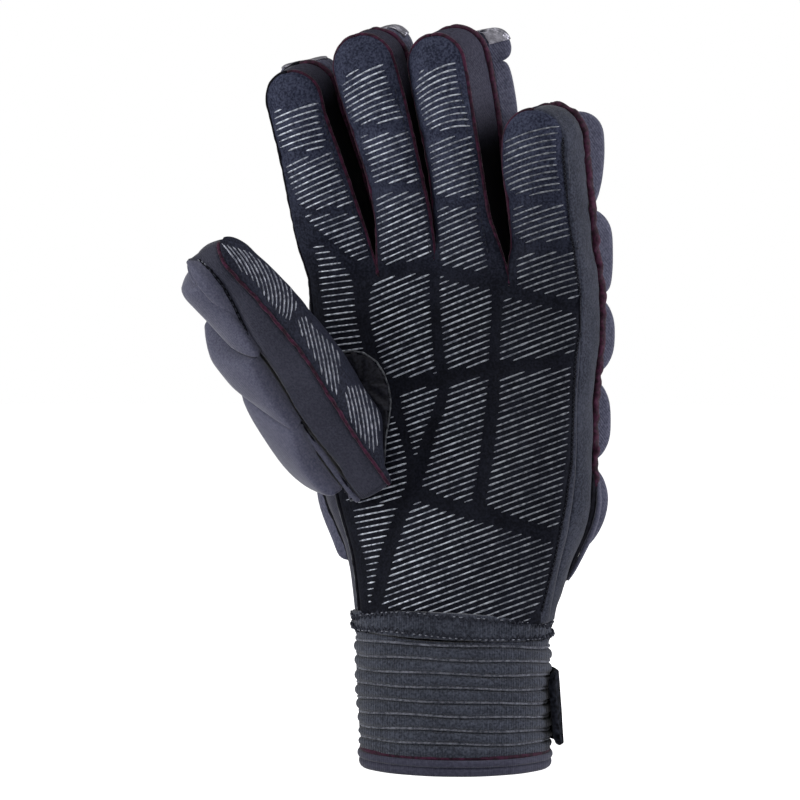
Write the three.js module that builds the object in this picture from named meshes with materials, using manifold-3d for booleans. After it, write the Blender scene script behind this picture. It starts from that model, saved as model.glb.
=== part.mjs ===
// Field hockey glove for the left hand, as it stands when a hand fills it: palm towards -Y, thumb towards
// -X, fingers up. Millimetres, +Z up, origin at the centre of the wrist opening on the hem's bottom edge.
//
// The glove is sewn from thin panels. The hand has a level, 0 at the cuff seam and 1 at the finger
// crotches, and a column, 0 at the index side and 4 at the little finger's side, with a crotch at 1, 2
// and 3. A digit has a front face and a back face, joined by side walls that meet over its tip.
import * as THREE from "three";
import { mergeVertices } from "three/addons/utils/BufferGeometryUtils.js";
import Module from "manifold-3d";

const wasm = await Module();
wasm.setup();

// Driving dimensions
const LEATHER = 1.6; // palm panel and side walls
const NEOPRENE = 2.0; // panels on the back of the hand and thumb
const GAP = 0.3; // clearance between pieces that touch
const FRONT_INSET = 1.8; // a side wall starts this far behind the outside of the palm panel
const BACK_INSET = 2.6; // and ends this far in front of the outside of the back panel
const HAND_PAD = 8; // foam on the back of the hand and fingers
const PAD_OVERHANG = 3.6; // how far a pad rolls over the edge of its panel at the glove's side

const CUFF_TOP = 51.6; // the seam between cuff and hand
const SEAM_BAND = 6.2; // overlocked band at that seam
const HEM_HEIGHT = 5.4;
const PIPING = 0.9; // thickness of the piping above the hem
const RIBS = 8;
const RIB_DEPTH = 1.1;
const KNIT = 2.2; // cuff wall at the bottom of a groove
const CUFF_HALF_WIDTH = 31.4;
const CUFF_HALF_DEPTH = 23.4;
const CUFF_FLARE = 2.6; // the cuff is this much wider at its top
const CUFF_SLANT = 0.05; // the cuff's top drops towards the little finger's side, in mm per mm

const STRAP = { bottom: 9, top: 33.5, thickness: 2.2, from: -20, to: 158, standOff: 2.0 };

// Sections of the hand, from the cuff seam up to the crotches: where each panel ends on the left and
// right, the depth of the side wall between the two panels, and how far each panel bulges
const HAND_COLUMNS = ["frontLeft", "frontRight", "backLeft", "backRight", "wall", "frontBulge", "backBulge"];
const HAND_ROWS = [
  [-32.0, 31.6, -33.2, 32.8, 15.0, 15.6, 15.6],
  [-34.2, 34.8, -37.0, 40.0, 15.0, 14.0, 13.6],
  [-39.4, 38.4, -45.4, 46.8, 15.0, 12.6, 11.6],
  [-42.6, 40.2, -47.0, 47.2, 15.0, 11.0, 9.8],
  [-45.4, 40.4, -49.0, 47.4, 15.0, 9.2, 8.0],
  [-47.6, 41.4, -50.0, 49.2, 15.0, 7.2, 6.2],
  [-49.4, 42.0, -49.6, 49.6, 15.0, 5.0, 4.4],
];
const COLUMN_SHARE = [0, 0.256, 0.462, 0.735, 1]; // where each column lies across the panel
const CROTCH_HEIGHT = [165.5, 166, 171, 162.5, 160.5];
const TURN = 0.25; // the hand's little finger side comes this far forward, in mm per mm
const TURN_START = 0.4; // level at which the hand is fully turned
const PALM_HOLLOW = 3.4; // depth of the cup in the middle of the palm
const SIDE_BULGE = 1.6; // how far the side of the hand rounds out between its two seams

// Stations along each digit's middle, from its root to the start of its round tip. Its front faces the
// given direction, and its back lies backShift to the side of its front.
const DIGIT_COLUMNS = ["x", "y", "z", "frontHalf", "backHalf", "backShift", "wall"];
const DIGITS = {
  index: {
    facing: [-0.34, -0.94, 0],
    rows: [
      [-35.2, -1.0, 165.5, 12.2, 12.6, 0.4, 15.0],
      [-40.1, -2.2, 181, 12.0, 12.4, 0.2, 15.4],
      [-43.6, -4.0, 194.5, 11.2, 12.0, 0.2, 15.6],
      [-47.0, -6.4, 207, 10.2, 11.4, 0.2, 15.4],
      [-50.2, -8.8, 218, 9.4, 11.0, 0.2, 15.2],
      [-52.4, -11.0, 227, 9.4, 10.8, 0.2, 15.0],
    ],
  },
  middle: {
    facing: [-0.34, -0.94, 0],
    rows: [
      [-13.6, -1.4, 168.5, 9.6, 10.0, 0.2, 15.0],
      [-15.2, -2.4, 185, 9.4, 9.8, 0.2, 15.4],
      [-18.4, -4.0, 201, 9.2, 9.8, 0.2, 15.8],
      [-22.4, -6.0, 216, 9.8, 10.4, 0.2, 15.8],
      [-26.2, -8.2, 229, 10.4, 10.8, 0.2, 15.6],
      [-28.6, -9.8, 237.5, 10.4, 10.8, 0.2, 15.4],
    ],
  },
  ring: {
    facing: [-0.42, -0.91, 0],
    rows: [
      [8.2, -1.2, 166.5, 11.0, 11.6, 0.4, 15.0],
      [5.0, -2.0, 185, 9.8, 10.8, 0.8, 15.6],
      [2.8, -3.2, 202, 9.2, 10.8, 1.2, 16.2],
      [0.2, -4.8, 217, 9.4, 11.2, 1.6, 16.4],
      [-2.2, -6.4, 230, 9.8, 11.4, 1.8, 16.2],
      [-3.6, -7.6, 237.5, 9.8, 11.2, 1.8, 16.0],
    ],
  },
  little: {
    facing: [-0.38, -0.92, 0],
    rows: [
      [33.4, -0.8, 161.5, 11.8, 12.6, 0.4, 14.4],
      [32.0, -1.6, 176, 11.0, 12.4, 0.8, 14.6],
      [30.4, -3.0, 190, 10.8, 12.4, 1.2, 14.8],
      [29.2, -4.6, 202, 11.4, 12.2, 1.2, 14.8],
      [28.8, -5.8, 210.5, 11.2, 11.8, 1.2, 14.6],
    ],
  },
  thumb: {
    facing: [0.76, -0.42, 0.5],
    rows: [
      [-28.6, -10.0, 104.2, 11.4, 12.4, 0, 15.0],
      [-37.0, -14.0, 116.4, 11.6, 12.8, 0, 15.6],
      [-44.8, -18.0, 128.6, 11.4, 12.6, 0, 16.0],
      [-52.2, -21.6, 140.2, 10.8, 12.0, 0, 16.0],
      [-60.8, -25.0, 151.0, 10.2, 11.4, 0, 15.6],
      [-68.8, -28.0, 160.6, 9.6, 10.8, 0, 15.0],
      [-75.2, -30.4, 167.4, 9.0, 10.2, 0, 14.4],
    ],
  },
};
const FRONT_CROWN = 4.0; // how far a digit's front face bulges
const BACK_CROWN = 3.2;
const TIP_ANGLE = THREE.MathUtils.degToRad(80); // the round tip stops here, at a short straight edge
const ROOT_BLEND = 20; // length over which a finger grows out of the hand

const PANEL_LEATHER = { color: 0x23262f, roughness: 0.75, metalness: 0 };
const WALL_CLOTH = { color: 0x363842, roughness: 0.85, metalness: 0 };
const FOAM_CLOTH = { color: 0x4a4b5a, roughness: 0.8, metalness: 0 };
const CUFF_CLOTH = { color: 0x3f4450, roughness: 0.9, metalness: 0 };
const STRAP_CLOTH = { color: 0x15161a, roughness: 0.95, metalness: 0 };
const PIPING_CLOTH = { color: 0x3a1428, roughness: 0.8, metalness: 0 };

const glove = new THREE.Group();
const { clamp, lerp, smoothstep, degToRad } = THREE.MathUtils;

// A smooth curve through a table's rows: at runs from 0, the first row, to 1, the last
function reader(columns, rows) {
  const last = rows.length - 1;
  return (at) => {
    const k = Math.min(Math.floor(at * last), last - 1);
    const f = at * last - k;
    const [a, b, c, d] = [k - 1, k, k + 1, k + 2].map((i) => rows[clamp(i, 0, last)]);
    const value = (j) => {
      const slope = c[j] - a[j];
      const bend = 2 * a[j] - 5 * b[j] + 4 * c[j] - d[j];
      const twist = 3 * (b[j] - c[j]) + d[j] - a[j];
      return b[j] + 0.5 * f * (slope + f * (bend + f * twist));
    };
    return Object.fromEntries(columns.map((name, j) => [name, value(j)]));
  };
}

const range = (from, to, steps) => Array.from({ length: steps + 1 }, (_, i) => lerp(from, to, i / steps));

const handAt = reader(HAND_COLUMNS, HAND_ROWS);
const crotchAt = reader(["z"], CROTCH_HEIGHT.map((z) => [z]));

// Share of the panel's width at a column, with the crotches at whole columns
function columnShare(column) {
  const k = clamp(Math.floor(column), 0, COLUMN_SHARE.length - 2);
  return lerp(COLUMN_SHARE[k], COLUMN_SHARE[k + 1], column - k);
}

// A point on the hand's front (sign -1) or back (sign 1)
function handPoint(sign, level, column) {
  const row = handAt(level);
  const share = columnShare(column);
  const across = 2 * share - 1;
  const isPalm = sign < 0;
  const x = isPalm ? lerp(row.frontLeft, row.frontRight, share) : lerp(row.backLeft, row.backRight, share);
  const bulge = (isPalm ? row.frontBulge : row.backBulge) * Math.sqrt(Math.max(0, 1 - across ** 2));
  const hollow = PALM_HOLLOW * Math.sin(Math.PI * level) * Math.cos((across * Math.PI) / 2) ** 2;
  const turn = TURN * x * smoothstep(level, 0, TURN_START);
  const y = sign * (row.wall / 2 + bulge) + (isPalm ? hollow : 0) - turn;
  const z = lerp(CUFF_TOP - CUFF_SLANT * x, crotchAt(column / (COLUMN_SHARE.length - 1)).z, level);
  return new THREE.Vector3(x, y, z);
}

// A digit: frames along it, and points on its two faces. along is 0 to 1 over the stations, up to 2 round
// the tip, and down to -1 round a closed root. across is -1 to 1.
class Digit {
  constructor(name, { facing, rows }) {
    this.name = name;
    this.facing = new THREE.Vector3(...facing);
    this.at = reader(DIGIT_COLUMNS, rows);
    this.column = Object.keys(DIGITS).indexOf(name);
    this.isFinger = name !== "thumb";
  }

  centre(station) {
    const { x, y, z } = this.at(station);
    return new THREE.Vector3(x, this.isFinger ? y - TURN * x : y, z);
  }

  frame(station) {
    const step = 0.01;
    const tangent = this.centre(Math.min(1, station + step))
      .sub(this.centre(Math.max(0, station - step)))
      .normalize();
    const front = this.facing.clone().addScaledVector(tangent, -this.facing.dot(tangent)).normalize();
    const side = new THREE.Vector3().crossVectors(tangent, front);
    return { centre: this.centre(station), tangent, front, side, row: this.at(station) };
  }

  // sign -1 is the front face, 1 the back face, as on the hand
  face(sign, along, across) {
    const station = clamp(along, 0, 1);
    const { centre, tangent, front, side, row } = this.frame(station);
    const turn = (along > 1 ? along - 1 : Math.min(0, along)) * TIP_ANGLE;
    const half = sign < 0 ? row.frontHalf : row.backHalf;
    const shift = sign < 0 ? 0 : row.backShift;
    const crown = (sign < 0 ? FRONT_CROWN : BACK_CROWN) * (1 - across ** 2) * Math.cos(turn) ** 1.2;
    const point = centre
      .addScaledVector(side, shift + half * Math.cos(turn) * across)
      .addScaledVector(tangent, half * Math.sin(turn))
      .addScaledVector(front, -sign * (row.wall / 2 + crown));
    if (!this.isFinger) return point;
    const root = handPoint(sign, 1, this.column + (across + 1) / 2);
    const distance = this.centre(station).distanceTo(this.centre(0));
    return root.addScaledVector(tangent, distance).lerp(point, smoothstep(distance, 0, ROOT_BLEND));
  }
}

const digits = {};
for (const [name, data] of Object.entries(DIGITS)) digits[name] = new Digit(name, data);
const fingers = Object.values(digits).filter((digit) => digit.isFinger);
const thumb = digits.thumb;

// The solid that fills the space between two layers of points over the same quads. The quads' corners
// run anticlockwise seen from outside, and the open edges of the two layers are joined by a rim.
function solidBetween(outer, inner, quads) {
  const count = outer.length;
  const triangles = [];
  const uses = new Map();
  const edge = (a, b) => a * count + b;
  for (const quad of quads) {
    const [a, b, c, d] = quad;
    triangles.push(a, b, c, a, c, d);
    triangles.push(count + a, count + c, count + b, count + a, count + d, count + c);
    quad.forEach((from, i) => uses.set(edge(from, quad[(i + 1) % 4]), [from, quad[(i + 1) % 4]]));
  }
  for (const [from, to] of uses.values()) {
    if (uses.has(edge(to, from))) continue;
    triangles.push(to, from, count + from, to, count + from, count + to);
  }
  const geometry = new THREE.BufferGeometry();
  geometry.setAttribute(
    "position",
    new THREE.Float32BufferAttribute([...outer, ...inner].flatMap((p) => p.toArray()), 3),
  );
  geometry.setIndex(triangles);
  return solidOf(geometry);
}

function solidOf(geometry) {
  const merged = mergeVertices(geometry, 1e-4);
  const mesh = new wasm.Mesh({
    numProp: 3,
    vertProperties: new Float32Array(merged.attributes.position.array),
    triVerts: new Uint32Array(merged.index.array),
  });
  return new wasm.Manifold(mesh);
}

// Adds a solid to the glove as a named mesh
function addNode(name, solid, look) {
  const { vertProperties, numProp, triVerts } = solid.getMesh();
  const geometry = new THREE.BufferGeometry();
  const positions = new Float32Array((vertProperties.length / numProp) * 3);
  for (let i = 0; i < positions.length / 3; i++) {
    positions.set(vertProperties.subarray(i * numProp, i * numProp + 3), i * 3);
  }
  geometry.setAttribute("position", new THREE.BufferAttribute(positions, 3));
  geometry.setIndex(new THREE.BufferAttribute(new Uint32Array(triVerts), 1));
  geometry.computeVertexNormals();
  const mesh = new THREE.Mesh(geometry, new THREE.MeshStandardMaterial(look));
  mesh.name = name;
  glove.add(mesh);
}

// A skin is a set of points and quads. Grids added to it share the points at which they meet.
class Skin {
  constructor() {
    this.points = [];
    this.quads = [];
    this.known = new Map();
  }

  add(point) {
    const key = point.toArray().map((v) => Math.round(v * 1000)).join();
    if (!this.known.has(key)) this.known.set(key, this.points.push(point) - 1);
    return this.known.get(key);
  }

  // rows is a list of equal rows of points; flip turns the quads round
  grid(rows, flip = false) {
    const ids = rows.map((row) => row.map((p) => this.add(p)));
    for (let r = 1; r < ids.length; r++) {
      for (let c = 1; c < ids[r].length; c++) {
        const quad = [ids[r - 1][c - 1], ids[r - 1][c], ids[r][c], ids[r][c - 1]];
        this.quads.push(flip ? quad.reverse() : quad);
      }
    }
  }

  normals() {
    const normals = this.points.map(() => new THREE.Vector3());
    for (const [a, b, c, d] of this.quads) {
      const diagonal = this.points[c].clone().sub(this.points[a]);
      const normal = diagonal.cross(this.points[d].clone().sub(this.points[b]));
      [a, b, c, d].forEach((i) => normals[i].add(normal));
    }
    return normals.map((n) => n.normalize());
  }

  // The sheet of cloth whose outside is this skin
  thicken(thickness) {
    const normals = this.normals();
    const inner = this.points.map((p, i) => p.clone().addScaledVector(normals[i], -thickness));
    return solidBetween(this.points, inner, this.quads);
  }
}

// Rows of points over a digit's front or back face
function faceRows(digit, sign, alongs) {
  const acrosses = range(-1, 1, STRIP_COLUMNS);
  return alongs.map((along) => acrosses.map((across) => digit.face(sign, along, across)));
}

// The palm side or the back of the hand with its four fingers, in one piece
const STRIP_COLUMNS = 4;
const HAND_STEPS = 6;
const FINGER_STEPS = 6;
const TIP_STEPS = [1.32, 1.66, 2];
const stripAlong = [...range(0, 1, FINGER_STEPS), ...TIP_STEPS];
function handSkin(sign) {
  const skin = new Skin();
  const columns = range(0, fingers.length, fingers.length * STRIP_COLUMNS);
  const handRows = range(0, 1, HAND_STEPS).map((level) => columns.map((c) => handPoint(sign, level, c)));
  skin.grid(handRows, sign > 0);
  for (const finger of fingers) skin.grid(faceRows(finger, sign, stripAlong), sign > 0);
  return skin;
}

// A side wall: each row of its path has the front edge, the back edge, and the direction that is out
const WALL_COLUMNS = 3;
function wallSolid(path, bulge) {
  const outer = [];
  const inner = [];
  const quads = [];
  const width = WALL_COLUMNS + 1;
  path.forEach(({ front, back, out }, r) => {
    const depth = back.clone().sub(front).normalize();
    const from = front.clone().addScaledVector(depth, FRONT_INSET);
    const to = back.clone().addScaledVector(depth, -BACK_INSET);
    for (const share of range(0, 1, WALL_COLUMNS)) {
      const point = from.clone().lerp(to, share).addScaledVector(out, bulge(r) * 4 * share * (1 - share));
      outer.push(point);
      inner.push(point.clone().addScaledVector(out, -LEATHER));
    }
    if (r === 0) return;
    for (let c = 1; c < width; c++) {
      const k = r * width + c;
      quads.push([k - width - 1, k - width, k, k - 1]);
    }
  });
  return solidBetween(outer, inner, quads);
}

function wallRow(front, back, centre) {
  const depth = back.clone().sub(front).normalize();
  const out = front.clone().lerp(back, 0.5).sub(centre);
  return { front, back, out: out.addScaledVector(depth, -out.dot(depth)).normalize() };
}

// Half of a digit's outline on one side, from its root up to the middle of its tip
function digitSide(digit, side, from) {
  const seam = GAP / 2 / (digit.at(1).frontHalf * Math.cos(TIP_ANGLE));
  const row = (along, across) =>
    wallRow(digit.face(-1, along, across), digit.face(1, along, across), digit.centre(clamp(along, 0, 1)));
  const up = [...range(from, 1, FINGER_STEPS), ...TIP_STEPS].map((along) => row(along, side));
  const last = row(2, side * seam);
  return [...up, { ...last, out: digit.frame(1).tangent }];
}

function handPath(column, levels) {
  return levels.map((level) => {
    const front = handPoint(-1, level, column);
    const back = handPoint(1, level, column);
    return wallRow(front, back, new THREE.Vector3(0, (front.y + back.y) / 2, (front.z + back.z) / 2));
  });
}

// The strip between two fingers: down one finger, through the crotch and up the next
const FINGER_BULGE = 0.7;
function fourchette(finger, next) {
  const column = next.column;
  const crotch = {
    front: handPoint(-1, 1, column),
    back: handPoint(1, 1, column),
    out: new THREE.Vector3(0, 0, 1),
  };
  const down = digitSide(next, -1, 1 / FINGER_STEPS).toReversed();
  const up = digitSide(finger, 1, 1 / FINGER_STEPS);
  return wallSolid([...down, crotch, ...up], (r) => (r === down.length ? 0 : FINGER_BULGE));
}

// A pillow of foam over part of a surface. place(u, v) gives the surface for u and v from -1 to 1, and
// free says how far the pillow rolls out over its border at u = -1 and u = 1.
const PAD_STEPS = 5;
const PAD_EDGE = 1.0; // thickness at its border
const PAD_SEAT = 0.6; // clearance under a pad, which is flat between its own points
function padSolid(place, height, free = [0, 0]) {
  const spread = range(-1, 1, PAD_STEPS).map((t) => Math.sin((t * Math.PI) / 2));
  const skin = new Skin();
  skin.grid(spread.map((v) => spread.map((u) => place(u, v))));
  const normals = skin.normals();
  const fullness = (t) => (1 - Math.abs(t) ** 3) ** 0.6;
  const top = [];
  const base = [];
  spread.forEach((v) => {
    const sideways = place(1, v).sub(place(-1, v)).normalize();
    spread.forEach((u) => {
      const k = top.length;
      const rise = PAD_EDGE + (height - PAD_EDGE) * fullness(u) * fullness(v);
      const roll = (u < 0 ? -free[0] : free[1]) * fullness(v) * Math.sin(Math.PI * Math.abs(u) ** 3);
      const seat = skin.points[k].clone().addScaledVector(normals[k], PAD_SEAT);
      base.push(seat);
      top.push(seat.clone().addScaledVector(normals[k], rise).addScaledVector(sideways, roll));
    });
  });
  return solidBetween(top, base, skin.quads);
}

// A pad on a digit's back between two places along it, and one on the back of the hand. On both u runs
// from the little finger's side to the index side, so that the pad faces away from the glove.
const PAD_WIDTH = 0.97; // a digit's pad is a little narrower than its back
function digitPad(digit, from, to, { height, free, slant = [0, 0] }) {
  const place = (u, v) => {
    const share = (v + 1) / 2;
    return digit.face(1, lerp(from, to, share) - u * lerp(slant[0], slant[1], share), -u * PAD_WIDTH);
  };
  return padSolid(place, height, free);
}

function handPad([lowLevel, highLevel], [fromColumn, toColumn], free) {
  return padSolid(
    (u, v) => handPoint(1, lerp(lowLevel, highLevel, (v + 1) / 2), lerp(toColumn, fromColumn, (u + 1) / 2)),
    HAND_PAD,
    free,
  );
}

// Closed solids that fill the hand and the thumb, grown by a clearance, to trim what meets them
function filled(rings) {
  const count = rings[0].length;
  const skin = new Skin();
  skin.grid(rings.map((ring) => [...ring, ring[0]]));
  const triangles = skin.quads.flatMap(([a, b, c, d]) => [a, b, c, a, c, d]);
  const cap = (ring, turned) => {
    const ids = ring.map((p) => skin.add(p));
    for (let i = 2; i < count; i++) {
      const pair = [ids[i - 1], ids[i]];
      triangles.push(ids[0], ...(turned ? pair.reverse() : pair));
    }
  };
  cap(rings[0], true);
  cap(rings.at(-1), false);
  const geometry = new THREE.BufferGeometry().setFromPoints(skin.points);
  geometry.setIndex(triangles);
  return solidOf(geometry);
}

function grown(ring, by) {
  const centre = ring.reduce((sum, p) => sum.add(p), new THREE.Vector3()).divideScalar(ring.length);
  return ring.map((p) => {
    const arm = p.clone().sub(centre);
    return p.clone().addScaledVector(arm.normalize(), by);
  });
}

function handFilling(by) {
  const columns = range(0, fingers.length, fingers.length * STRIP_COLUMNS);
  const sideRow = (column, level) => {
    const [{ front, back, out }] = handPath(column, [level]);
    return [front.lerp(back, 0.5).addScaledVector(out, SIDE_BULGE)];
  };
  return filled(
    range(0, 1, HAND_STEPS).map((level) =>
      grown(
        [
          ...columns.map((c) => handPoint(-1, level, c)),
          ...sideRow(4, level),
          ...columns.toReversed().map((c) => handPoint(1, level, c)),
          ...sideRow(0, level),
        ],
        by,
      ),
    ),
  );
}

const thumbRoot = TIP_STEPS.map((along) => 1 - along).toReversed();
const thumbAlong = [...thumbRoot, ...range(0, 1, FINGER_STEPS), ...TIP_STEPS];
function thumbFilling(by) {
  const across = range(-1, 1, STRIP_COLUMNS);
  return filled(
    thumbAlong.map((along) =>
      grown(
        [
          ...across.map((a) => thumb.face(-1, along, a)),
          ...across.toReversed().map((a) => thumb.face(1, along, a)),
        ],
        by,
      ),
    ),
  );
}

// Palm, back and side walls of the hand
const thumbRoom = thumbFilling(GAP);
addNode("palm_panel", handSkin(-1).thicken(LEATHER).subtract(thumbRoom), PANEL_LEATHER);
addNode("back_panel", handSkin(1).thicken(NEOPRENE), FOAM_CLOTH);

const crotchToCuff = range(1, 0, HAND_STEPS).slice(1);
const handRows = crotchToCuff.length;
const gussetBulge = (r, rows) => (r < rows ? lerp(SIDE_BULGE, FINGER_BULGE, r / rows) : FINGER_BULGE);
const littlePath = [...handPath(4, crotchToCuff.toReversed()), ...digitSide(digits.little, 1, 0)];
addNode("little_side_gusset", wallSolid(littlePath, (r) => gussetBulge(r, handRows)), WALL_CLOTH);
const indexPath = [...digitSide(digits.index, -1, 0).toReversed(), ...handPath(0, crotchToCuff)];
const indexWall = wallSolid(indexPath, (r) => gussetBulge(indexPath.length - 1 - r, handRows));
addNode("index_side_gusset", indexWall.subtract(thumbRoom), WALL_CLOTH);
for (const [i, finger] of fingers.slice(0, -1).entries()) {
  const next = fingers[i + 1];
  addNode(`${finger.name}_${next.name}_fourchette`, fourchette(finger, next), WALL_CLOTH);
}

// The thumb: its front panel, the wall round it, and its back, all cut off where they meet the hand
const handRoom = handFilling(GAP);
function thumbFace(sign, thickness) {
  const skin = new Skin();
  skin.grid(faceRows(thumb, sign, thumbAlong), sign > 0);
  return skin.thicken(thickness).subtract(handRoom);
}
function thumbWall() {
  const row = (along, across) =>
    wallRow(thumb.face(-1, along, across), thumb.face(1, along, across), thumb.centre(clamp(along, 0, 1)));
  const side = (across) => thumbAlong.map((along) => row(along, across));
  const path = [...side(1), ...side(-1).toReversed()];
  return wallSolid([...path, path[0]], () => FINGER_BULGE).subtract(handRoom);
}
addNode("thumb_front_panel", thumbFace(-1, LEATHER), PANEL_LEATHER);
addNode("thumb_back_panel", thumbFace(1, NEOPRENE), FOAM_CLOTH);
addNode("thumb_side_wall", thumbWall(), WALL_CLOTH);

// Foam pads: three along each finger, two on the little one, three on the thumb. Each row has the pad's
// ends along the digit and how far it rolls out on the little finger's side and on the index side.
const PAD_COLUMNS = ["from", "to", "littleSide", "indexSide"];
const FINGER_PADS = {
  index: [
    [0.1, 0.42, 0.4, 1.8],
    [0.45, 0.86, 0.4, 1.8],
    [0.9, 1.7, 0.4, 1.8],
  ],
  middle: [
    [0.1, 0.42, 0.4, 0.4],
    [0.45, 0.86, 0.4, 0.4],
    [0.9, 1.7, 0.8, 0.4],
  ],
  ring: [
    [0.1, 0.42, 1.4, 0.4],
    [0.45, 0.86, 2.2, 0.4],
    [0.9, 1.7, PAD_OVERHANG, 0.4],
  ],
  little: [
    [0.08, 0.57, PAD_OVERHANG, 0.4],
    [0.61, 1.7, PAD_OVERHANG, 0.4],
  ],
};
for (const [name, rows] of Object.entries(FINGER_PADS)) {
  rows.forEach((row, i) => {
    const { from, to, littleSide, indexSide } = reader(PAD_COLUMNS, [row, row])(0);
    const shape = { height: HAND_PAD, free: [littleSide, indexSide] };
    addNode(`${name}_pad_${i + 1}`, digitPad(digits[name], from, to, shape), FOAM_CLOTH);
  });
}

// The thumb's pads: the ends of each slant towards the tip on the far side
const THUMB_PAD_COLUMNS = ["from", "to", "fromSlant", "toSlant", "height"];
const THUMB_PADS = [
  [-0.3, 0.48, 0, 0.18, 14],
  [0.52, 0.8, 0.18, 0.18, 14],
  [0.84, 1.45, 0.18, 0.1, 8],
];
THUMB_PADS.forEach((row, i) => {
  const { from, to, fromSlant, toSlant, height } = reader(THUMB_PAD_COLUMNS, [row, row])(0);
  const shape = { height, free: [PAD_OVERHANG, PAD_OVERHANG], slant: [fromSlant, toSlant] };
  addNode(`thumb_pad_${i + 1}`, digitPad(thumb, from, to, shape).subtract(handRoom), FOAM_CLOTH);
});

// Three rows of pads on the back of the hand, in line with the fingers
const PAD_ROWS = { knuckle: [0.755, 0.985], middle: [0.49, 0.735], lower: [0.2, 0.47] };
const PAD_SEAM = 0.035; // share of a column left free between two pads
for (const [name, levels] of Object.entries(PAD_ROWS)) {
  for (const finger of fingers) {
    const columns = [finger.column + PAD_SEAM, finger.column + 1 - PAD_SEAM];
    const free = [finger.name === "little" ? PAD_OVERHANG : 0, finger.name === "index" ? PAD_OVERHANG : 0];
    addNode(`hand_${name}_pad_${finger.column + 1}`, handPad(levels, columns, free), FOAM_CLOTH);
  }
}

// Rings that follow the oval of the cuff: a closed profile of [outward, height] swept all the way round
const CUFF_SIDES = 28;
function ovalPoint(angle, outward, height) {
  const share = height / CUFF_TOP;
  const x = Math.cos(angle) * (CUFF_HALF_WIDTH + CUFF_FLARE * share + outward);
  const y = Math.sin(angle) * (CUFF_HALF_DEPTH + outward);
  return new THREE.Vector3(x, y, height - CUFF_SLANT * x * share);
}
function ovalRing(profile) {
  const skin = new Skin();
  const angles = range(0, 2 * Math.PI, CUFF_SIDES);
  const closed = [...profile, profile[0]];
  skin.grid(closed.map(([outward, height]) => angles.map((angle) => ovalPoint(angle, outward, height))));
  const triangles = skin.quads.flatMap(([a, b, c, d]) => [a, b, c, a, c, d]);
  const geometry = new THREE.BufferGeometry().setFromPoints(skin.points);
  geometry.setIndex(triangles);
  return solidOf(geometry);
}

const sleeveBottom = HEM_HEIGHT + PIPING + 2 * GAP;
const sleeveTop = CUFF_TOP - SEAM_BAND - GAP;
const ribPitch = (sleeveTop - sleeveBottom) / RIBS;
const ribProfile = range(0, RIBS - 1, RIBS - 1).flatMap((rib) => {
  const z = sleeveBottom + rib * ribPitch;
  return [
    [0, z],
    [RIB_DEPTH, z + ribPitch * 0.55],
  ];
});
addNode(
  "cuff_sleeve",
  ovalRing([...ribProfile, [0, sleeveTop], [-KNIT, sleeveTop], [-KNIT, sleeveBottom]]),
  CUFF_CLOTH,
);
const bandBottom = sleeveTop + GAP;
const bandTop = CUFF_TOP - GAP;
addNode(
  "cuff_seam_band",
  ovalRing([
    [0.6, bandBottom],
    [1.7, bandBottom + 1.2],
    [1.1, (bandBottom + bandTop) / 2],
    [1.9, bandTop - 1.2],
    [0.8, bandTop],
    [-KNIT, bandTop],
    [-KNIT, bandBottom],
  ]),
  CUFF_CLOTH,
);
addNode(
  "hem_piping",
  ovalRing([
    [0.6, HEM_HEIGHT + GAP],
    [1.2, HEM_HEIGHT + GAP + PIPING / 2],
    [0.6, HEM_HEIGHT + GAP + PIPING],
    [-KNIT, HEM_HEIGHT + GAP + PIPING],
    [-KNIT, HEM_HEIGHT + GAP],
  ]),
  PIPING_CLOTH,
);
addNode(
  "cuff_hem",
  ovalRing([
    [0, 0],
    [1.0, 0.9],
    [1.1, 2.5],
    [0.4, 3.1],
    [1.4, 3.6],
    [1.4, HEM_HEIGHT - 0.4],
    [0.8, HEM_HEIGHT],
    [-KNIT, HEM_HEIGHT],
    [-KNIT, 0],
  ]),
  CUFF_CLOTH,
);

// The closing strap round the back of the wrist. Its free end stands off at the little finger's side,
// most along its lower edge.
const STRAP_STEPS = 20;
const STRAP_ROWS = 3;
const FREE_END = 0.3; // share of the strap's length that stands off
function closingStrap() {
  const shares = range(0, 1, STRAP_STEPS);
  const rows = range(0, 1, STRAP_ROWS);
  const layer = (lift) =>
    shares.flatMap((share) =>
      rows.map((row) => {
        const standOff = STRAP.standOff * (1 - smoothstep(share, 0, FREE_END)) * lerp(1, 0.25, row);
        const angle = degToRad(lerp(STRAP.from, STRAP.to, share));
        return ovalPoint(angle, RIB_DEPTH + GAP + standOff + lift, lerp(STRAP.bottom, STRAP.top, row));
      }),
    );
  const quads = [];
  for (let i = 0; i < STRAP_STEPS; i++) {
    for (let j = 0; j < STRAP_ROWS; j++) {
      const k = i * rows.length + j;
      quads.push([k, k + rows.length, k + rows.length + 1, k + 1]);
    }
  }
  return solidBetween(layer(STRAP.thickness), layer(0), quads);
}
addNode("closing_strap", closingStrap(), STRAP_CLOTH);

export default glove;
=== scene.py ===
import math
import random

import bmesh
import bpy
import numpy as np
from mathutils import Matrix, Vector, noise
from mathutils.bvhtree import BVHTree


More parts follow.
